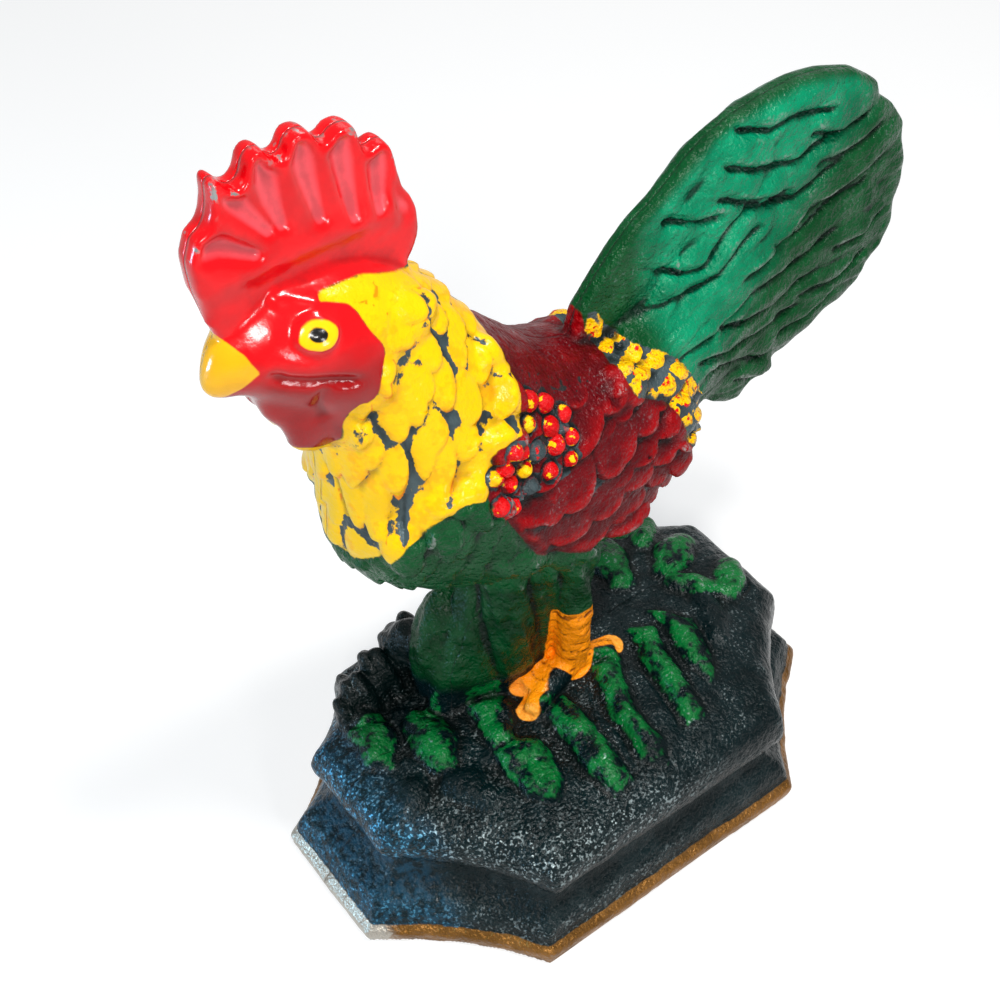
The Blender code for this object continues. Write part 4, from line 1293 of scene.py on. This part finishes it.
class Enamel(Nodes):
    """Brushed-on enamel over cast iron, one colour per zone, worn on crests and bare in grooves,
    with painted shade, highlights and reflections.
    """

    def __init__(self, colours):
        super().__init__(bpy.data.materials.new("painted_iron"))
        self.colours = colours
        self.fine, self.medium, self.wide = (
            self.noise(size, detail) for size, detail in ((0.9, 4), (2.6, 4), (9, 3)))
        self.wobble = self.times(self.work("SUBTRACT", self.medium, 0.5), 1.6)
        self.patchy = self.plus(self.times(self.wide, 0.6), self.medium, 0.4)
        split = self.made("ShaderNodeSeparateXYZ", None, {0: self.place()}).outputs
        self.x, self.z = split["X"], split["Z"]
        self.bird = self.ramp(self.z, 0.102, 0.106)
        self.face, self.hackle = self.covered("face", 0.3), self.covered("hackle", 0.9)
        self.iron = self.paint("bare_iron", 0.55, 1.35)
        rim = self.plus(self.z, self.wobble, 0.0005)
        self.gold = self.ramp(rim, 0.0076, 0.0071)
        self.smooth = self.most(self.covered("face", 0.2), self.covered("beak", 0.2))
        self.yellow = self.covered("hackle", 0.2)
        self.off_leg = self.ramp(self.field("leg"), 0.2, -0.4)
        self.inside = self.most(self.ramp(self.field("hidden"), 0.5, 0.9),
                                self.ramp(self.field("seam_face"), 0.97, 0.99))

    def brushed(self, field, wander=1.0, crisp=0.25):
        """Where a zone's paint lies, with a brushed border."""
        border = self.plus(self.field(field), self.wobble, wander)
        return self.ramp(border, -crisp, crisp)

    def covered(self, field, wander):
        """Where a zone's paint lies on the bird, off the plinth."""
        return self.times(self.brushed(field, wander), self.bird)

    def varied(self, colour, darker=0.75, lighter=1.12):
        value = self.ramp(self.wide, 0.3, 0.7, darker, lighter)
        return self.made("ShaderNodeHueSaturation", "Color", {"Color": colour, "Value": value})

    def paint(self, name, *shades):
        colour = tuple(getattr(self.colours, name))
        return self.varied(colour, *shades) if shades else colour

    def plinth_paint(self):
        leaf = self.times(self.brushed("leaf", 2.6, 0.5), self.ramp(self.patchy, 0.43, 0.53))
        colour = self.mix(leaf, self.paint("plinth_teal", 0.7, 1.3),
                          self.paint("leaf_green", 0.65, 1.1))
        colour = self.mix(self.field("trunk"), colour, self.paint("belly_green", 0.35, 0.8))
        return self.mix(self.brushed("tuft", 1.5, 0.5), colour, tint(2, 16, 16))

    def tail_and_belly_paint(self):
        # Painted shade: the tail turns from its green to the darker belly green towards its lower
        # rear
        low = self.ramp(self.work("SUBTRACT", self.x, self.z), -0.150, -0.105)
        tail = self.mix(low, self.paint("tail_green", 0.8, 1.2),
                        self.paint("belly_green", 0.65, 1.1))
        return self.mix(self.field("on_tail"), self.paint("belly_green", 0.75, 1.1), tail)

    def wing_paint(self, colour):
        # Painted highlight: the raised tips of the scallops turn from maroon to a lighter red
        maroon_and_highlight = self.mix(self.ramp(self.field("swell"), -0.1, 0.7),
                          self.paint("wing_maroon", 0.75, 1.1), self.paint("wing_highlight_red", 0.85, 1.1))
        colour = self.mix(self.covered("wing", 0.5), colour, maroon_and_highlight)
        root = self.covered("root", 1.4)
        colour = self.mix(root, colour, self.iron)
        gilt = self.mix(self.ramp(self.fine, 0.56, 0.6), self.paint("hackle_yellow"),
                        self.paint("hackle_orange"))
        gilt = self.mix(self.ramp(self.medium, 0.6, 0.63), gilt, self.paint("bead_red"))
        colour = self.mix(self.times(root, self.brushed("yellow", 1.4)), colour, gilt)
        tone = self.field("bead_tone")
        mottle = self.plus(self.ramp(tone, 0.4, 0.6, 0.0, 0.14), self.medium)
        bead = self.mix(self.ramp(mottle, 0.58, 0.62), self.paint("bead_red", 0.8, 1.1),
                        self.paint("hackle_yellow"))
        worn = self.times(self.ramp(tone, 1.4, 1.6), self.ramp(self.medium, 0.35, 0.42))
        return self.mix(self.covered("bead", 0.4), colour, self.mix(worn, bead, self.iron))

    def neck_paint(self, colour):
        """Yellow on the neck; bare iron deep in the grooves of the neck and wing, and painted shade,
        in darker greens, deep in the grooves of the belly and tail.
        """
        tips = self.ramp(self.plus(self.field("feather_edge"), self.wobble, 0.5), 0.25, 0.8)
        orange = self.paint("hackle_orange")
        yellow = self.mix(tips, self.paint("hackle_yellow"), orange)
        yellow = self.mix(self.ramp(self.patchy, 0.5, 0.6, 0.0, 0.4), yellow, orange)
        colour = self.mix(self.hackle, colour, self.varied(yellow, 0.93, 1.03))
        bare_and_shaded = self.ramp(self.plus(self.field("groove"), self.wobble, 0.9), 0.46, 0.6)
        self.bare_and_shaded = self.times(bare_and_shaded, self.ramp(self.field("face"), 0.5, -0.5), self.bird)
        # Bare iron in the grooves of the neck and wing; painted shade, in darker greens, in the
        # grooves of the belly and tail
        groove_iron_and_shade = self.mix(self.field("belly"), self.iron, tint(0, 30, 20))
        groove_iron_and_shade = self.mix(self.field("on_tail"), groove_iron_and_shade, tint(0, 56, 42))
        return self.mix(self.bare_and_shaded, colour, groove_iron_and_shade)

    def head_paint(self, colour):
        # Painted shade: the face turns darker red below the eye, on the wattles
        wattle_shade = self.ramp(self.z, 0.231, 0.216)
        red = self.mix(wattle_shade, self.paint("comb_red", 0.85, 1.08),
                       self.varied(tint(154, 0, 4), 0.85, 1.08))
        # Painted sheen: a pale pink in the comb's flutes stands in for their glossy highlight
        flute = self.times(self.ramp(self.field("flute"), 0.35, 1.0), 0.55)
        red = self.mix(flute, red, tint(255, 104, 116))
        colour = self.mix(self.face, colour, red)
        colour = self.mix(self.covered("beak", 0.3), colour, self.paint("beak_yellow", 0.92, 1.05))
        colour = self.mix(self.covered("iris", 0.15), colour, self.paint("hackle_yellow"))
        return self.mix(self.covered("pupil", 0.1), colour, (0.004, 0.004, 0.004))

    def dirt_shade_and_legs(self, colour):
        # Dirt and painted shade: the hollows of the relief, the face's creases too, darken towards
        # near-black
        dirt_and_shade = self.ramp(self.plus(self.field("swell"), self.wobble, 0.35), -0.12, -0.75)
        dirt_and_shade = self.times(dirt_and_shade, self.blend(self.hackle, 0.85, 0.5), self.blend(self.face, 1.0, 0.45))
        colour = self.mix(dirt_and_shade, colour, tint(6, 14, 14))
        bands = self.times(self.field("leg_band"), self.ramp(self.medium, 0.4, 0.55))
        orange = self.mix(bands, self.paint("leg_orange", 0.9, 1.05), tint(96, 40, 6))
        orange = self.mix(self.times(self.field("claw"), 0.35), orange, tint(250, 190, 90))
        return self.mix(self.brushed("leg", 0.4), colour, orange)

    def foot_paint(self, colour):
        """Gold along the plinth's foot, silver at its front end."""
        end = self.ramp(self.plus(self.x, self.wobble, 0.008), -0.098, -0.103)
        colour = self.mix(self.gold, colour, self.paint("rim_gold", 0.7, 1.25))
        return self.mix(self.times(self.gold, end), colour, tint(168, 162, 152))

    def wear(self, colour):
        """Iron rubbed bare on what stands proud and on the feathers' tips."""
        proud = self.ramp(self.plus(self.field("lift"), self.wobble, 0.35), 0.3, 0.6)
        patch = self.blend(self.hackle, self.ramp(self.wide, 0.44, 0.6, 0.0, 0.55), 0.0)
        spared = self.most(self.face, self.covered("bead", 0.2))
        rubbed = self.times(proud, patch, self.rest(spared), self.ramp(
            self.plus(self.fine, self.bird, 0.06), 0.5, 0.6))
        tips = self.ramp(self.plus(self.field("crest"), self.wobble, 0.9), 1.06, 1.2)
        tips = self.times(tips, self.ramp(self.wide, 0.46, 0.58), self.bird)
        self.worn = self.times(self.most(rubbed, tips), self.off_leg)
        return self.mix(self.worn, colour, tint(150, 152, 150))

    def painted_sparkle_and_reflection(self, colour):
        """Metallic silver specks in the cast grain that also paint the sparkle of a highlight, dense
        on the plinth's front shoulder and foot band where the light falls, and a painted blue
        reflection on the plinth's front end.
        """
        plain = self.rest(self.most(self.smooth, self.yellow))
        green = self.most(self.field("trunk"), self.field("belly"))
        plain = self.times(plain, self.blend(self.bird, 1.0, 0.4), self.rest(green),
                           self.rest(self.gold))
        shoulder = self.times(self.ramp(self.z, 0.034, 0.037), self.ramp(self.z, 0.050, 0.043))
        foot_band = self.times(self.ramp(self.z, 0.0165, 0.0135), 0.5)
        # Painted highlight: the specks crowd on the front, where the light falls
        lit_front = self.times(self.most(shoulder, foot_band), self.ramp(self.x, 0.015, -0.03))
        specks = self.noise(0.9, 1, 0.5)
        sparse = self.times(self.ramp(specks, 0.6, 0.7), self.ramp(self.wide, 0.46, 0.66, 0.0, 0.5),
                            self.blend(self.ramp(self.z, 0.030, 0.034), 0.1, 1.0))
        dense_highlight = self.times(self.ramp(specks, 0.53, 0.64),
                           self.ramp(self.medium, 0.4, 0.6, 0.1, 0.8), lit_front)
        self.highlight_flakes = self.times(self.most(sparse, dense_highlight), plain, self.off_leg)
        # Painted reflection: blue on the plinth's front end, in its paint and in its specks
        end_face_reflection = self.times(self.ramp(self.x, -0.078, -0.088), self.ramp(self.z, 0.052, 0.043))
        blue = self.times(end_face_reflection, plain, self.ramp(self.medium, 0.38, 0.62, 0.05, 0.5))
        colour = self.mix(blue, colour, tint(30, 80, 106))
        return self.mix(self.highlight_flakes, colour, self.mix(end_face_reflection, tint(150, 164, 166),
                                                      tint(92, 168, 205)))

    def shine(self):
        """Roughness of the paint."""
        rough_paint = self.blend(self.smooth, self.ramp(self.medium, 0.3, 0.7, 0.2, 0.38),
                                 self.ramp(self.wide, 0.3, 0.7, 0.17, 0.26))
        wing = self.ramp(self.medium, 0.3, 0.7, 0.34, 0.55)
        rough_paint = self.blend(self.covered("wing", 0.2), rough_paint, wing)
        rough_paint = self.blend(self.yellow, rough_paint, 0.3)
        rough_paint = self.blend(self.inside, rough_paint, 0.7)
        return self.blend(self.gold, rough_paint, 0.38)

    def metal(self):
        shares = (self.times(self.gold, 0.85), self.times(self.worn, 0.6),
                  self.times(self.bare_and_shaded, 0.3), self.highlight_flakes)
        return self.times(self.most(*shares), self.rest(self.inside))

    def cast_grain(self):
        pits, lumps = self.noise(1.1, 2, 0.5), self.noise(2.6, 2, 0.5)
        grit = self.plus(self.ramp(pits, 0.3, 0.7, 0.0, 0.5), self.ramp(lumps, 0.3, 0.7, 0.0, 0.6))
        sleek = self.most(self.smooth, self.times(self.yellow, 0.75))
        return self.bump(grit, 0.42, self.blend(sleek, 1.0, 0.06))


def enamel(colours):
    """The castings' paint, made once and shared by both."""
    known = bpy.data.materials.get("painted_iron")
    if known:
        return known
    s = Enamel(colours)
    colour = s.mix(s.bird, s.plinth_paint(), s.tail_and_belly_paint())
    for layer in (s.wing_paint, s.neck_paint, s.head_paint, s.dirt_shade_and_legs, s.foot_paint,
                  s.wear, s.painted_sparkle_and_reflection):
        colour = layer(colour)
    colour = s.mix(s.inside, colour, s.varied((0.02, 0.021, 0.022)))
    grain = s.cast_grain()
    glaze = s.blend(s.yellow, s.ramp(s.wide, 0.4, 0.65, 0.03, 0.14), 0.15)
    return s.finish(s.made("ShaderNodeBsdfPrincipled", "BSDF", {
        "Base Color": colour, "Roughness": s.shine(), "Metallic": s.metal(), "Normal": grain,
        "Specular IOR Level": 0.13, "Coat Normal": grain, "Coat Roughness": 0.15,
        "Coat Weight": s.blend(s.smooth, glaze, 0.4)}))


def screw_steel():
    """Turned steel with a light blackening."""
    s = Nodes(bpy.data.materials.new("blackened_steel"))
    grit, wide = s.noise(0.4, 3), s.noise(3, 3)
    return s.finish(s.made("ShaderNodeBsdfPrincipled", "BSDF", {
        "Base Color": s.mix(s.ramp(wide, 0.35, 0.65), tint(92, 94, 96), tint(58, 58, 60)),
        "Roughness": s.ramp(grit, 0.3, 0.7, 0.3, 0.5), "Metallic": 1.0,
        "Normal": s.bump(grit, 0.05, 0.5)}))


# Screws

def build_screws():
    steel = screw_steel()
    for node in SCREWS:
        mesh = unpainted_copy(node)
        mesh.materials.append(steel)
        screw = linked("turned_" + node, mesh)
        merge_points(screw)
        apply_step(screw, "edges", "BEVEL", width=0.15 * MM, segments=2, limit_method="ANGLE",
                   angle_limit=math.radians(50))
        select_only(screw)
        bpy.ops.object.shade_smooth_by_angle(angle=math.radians(40))
        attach(screw, "root")
        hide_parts(node)


# Stage

CAMERA = {"place": (-200.1, -258.0, 468.1), "yaw": 54.61, "pitch": -46.78, "roll": -2.11,
          "lens": 60.05}
LAMPS = (
    # Place in mm about the drawing's origin, width, power and colour
    ((-480, -520, 800), 170, 5.4, (1.0, 0.98, 0.95)),
    ((80, -220, 880), 120, 4.4, (1.0, 0.99, 0.97)),
    ((420, 380, 760), 400, 1.0, (0.96, 0.98, 1.0)),
    ((-820, 300, 150), 140, 3.4, (0.4, 0.72, 1.0)),
    ((-150, -780, 300), 130, 1.4, (0.97, 0.98, 1.0)),
)
LAMP_TARGET = (0, 0, 130)


def build_camera():
    yaw, pitch, roll = (math.radians(CAMERA[key]) for key in ("yaw", "pitch", "roll"))
    ahead = Vector((math.cos(pitch) * math.cos(yaw), math.cos(pitch) * math.sin(yaw),
                    math.sin(pitch)))
    right = ahead.cross(Vector((0, 0, 1))).normalized()
    up = right.cross(ahead)
    level_right = right * math.cos(roll) + up * math.sin(roll)
    level_up = up * math.cos(roll) - right * math.sin(roll)
    turn = Matrix((level_right, level_up, -ahead)).transposed().to_4x4()
    place = Vector(CAMERA["place"]) * MM + drawing_origin()
    bpy.ops.object.camera_add()
    camera = bpy.context.view_layer.objects.active
    camera.matrix_world = Matrix.Translation(place) @ turn
    camera.data.lens = CAMERA["lens"]
    camera.data.sensor_width = 36.0
    camera.data.clip_start = 0.01
    bpy.context.scene.camera = camera


def build_lamps():
    middle = drawing_origin() + Vector(LAMP_TARGET) * MM
    for place, width, power, colour in LAMPS:
        spot = drawing_origin() + Vector(place) * MM
        bpy.ops.object.light_add(type="AREA", location=spot)
        lamp = bpy.context.view_layer.objects.active
        lamp.rotation_euler = (middle - spot).to_track_quat("-Z", "Y").to_euler()
        lamp.data.size = width * MM
        lamp.data.energy = power
        lamp.data.color = colour


def build_floor():
    """A pale floor that keeps shadows, and shines white to the camera and to gloss."""
    floor = added(bpy.ops.mesh.primitive_plane_add, size=8)
    floor.name = "floor"
    s = Nodes(bpy.data.materials.new("pale_floor"))
    matte = s.made("ShaderNodeBsdfDiffuse", 0, {"Color": (0.5, 0.5, 0.5)})
    glow = s.made("ShaderNodeEmission", 0, {
        "Color": (1.0, 1.0, 1.0), "Strength": s.times(s.seen(), 0.6)})
    both = s.made("ShaderNodeAddShader", 0, {0: matte, 1: glow})
    floor.data.materials.append(s.finish(both))


def build_world():
    """Faint sky light, with a white background that gloss sees at half strength."""
    world = bpy.data.worlds.new("studio")
    bpy.context.scene.world = world
    s = Nodes(world)
    sky = s.made("ShaderNodeBackground", 0, {"Color": (0.9, 0.95, 1.0), "Strength": 0.14})
    white = s.made("ShaderNodeBackground", 0, {
        "Color": (1.0, 1.0, 1.0), "Strength": s.plus(0.5, s.ray("Is Camera Ray"), 0.5)})
    both = s.made("ShaderNodeMixShader", 0, {0: s.seen(), 1: sky, 2: white})
    s.finish(both, "ShaderNodeOutputWorld")
    bpy.context.scene.view_settings.view_transform = "Standard"


# Operators and panel

class DOORSTOP_OT_castings(bpy.types.Operator):
    """Carve and paint both castings of the rooster"""

    bl_idname = "doorstop.castings"
    bl_label = "Carve Castings"
    bl_options = {"REGISTER", "UNDO"}

    def execute(self, context):
        build_castings(context.scene.doorstop)
        return {"FINISHED"}


class DOORSTOP_OT_screws(bpy.types.Operator):
    """Finish the three machine screws"""

    bl_idname = "doorstop.screws"
    bl_label = "Finish Screws"
    bl_options = {"REGISTER", "UNDO"}

    def execute(self, context):
        build_screws()
        return {"FINISHED"}


class DOORSTOP_OT_stage(bpy.types.Operator):
    """Set the floor, the lamps and the camera"""

    bl_idname = "doorstop.stage"
    bl_label = "Set Stage"
    bl_options = {"REGISTER", "UNDO"}

    def execute(self, context):
        build_camera()
        build_lamps()
        build_floor()
        build_world()
        return {"FINISHED"}


class DOORSTOP_PT_panel(bpy.types.Panel):
    """Sizes, colours and steps of the doorstop"""

    bl_idname = "DOORSTOP_PT_panel"
    bl_label = "Rooster Doorstop"
    bl_space_type = "VIEW_3D"
    bl_region_type = "UI"
    bl_category = "Doorstop"

    def draw(self, context):
        layout = self.layout
        settings = context.scene.doorstop
        for group in (settings.sizes, settings.colours):
            box = layout.box()
            for name in type(group).__annotations__:
                box.prop(group, name)
        for operator in (DOORSTOP_OT_castings, DOORSTOP_OT_screws, DOORSTOP_OT_stage):
            layout.operator(operator.bl_idname)


CLASSES = (
    CastingSizes, PaintColours, DoorstopSettings, DOORSTOP_OT_castings, DOORSTOP_OT_screws,
    DOORSTOP_OT_stage, DOORSTOP_PT_panel,
)


def register():
    for cls in CLASSES:
        bpy.utils.register_class(cls)
    bpy.types.Scene.doorstop = PointerProperty(type=DoorstopSettings)


def unregister():
    del bpy.types.Scene.doorstop
    for cls in reversed(CLASSES):
        bpy.utils.unregister_class(cls)


def main():
    register()
    bpy.ops.doorstop.stage()
    bpy.ops.doorstop.castings()
    bpy.ops.doorstop.screws()


if __name__ == "__main__":
    main()
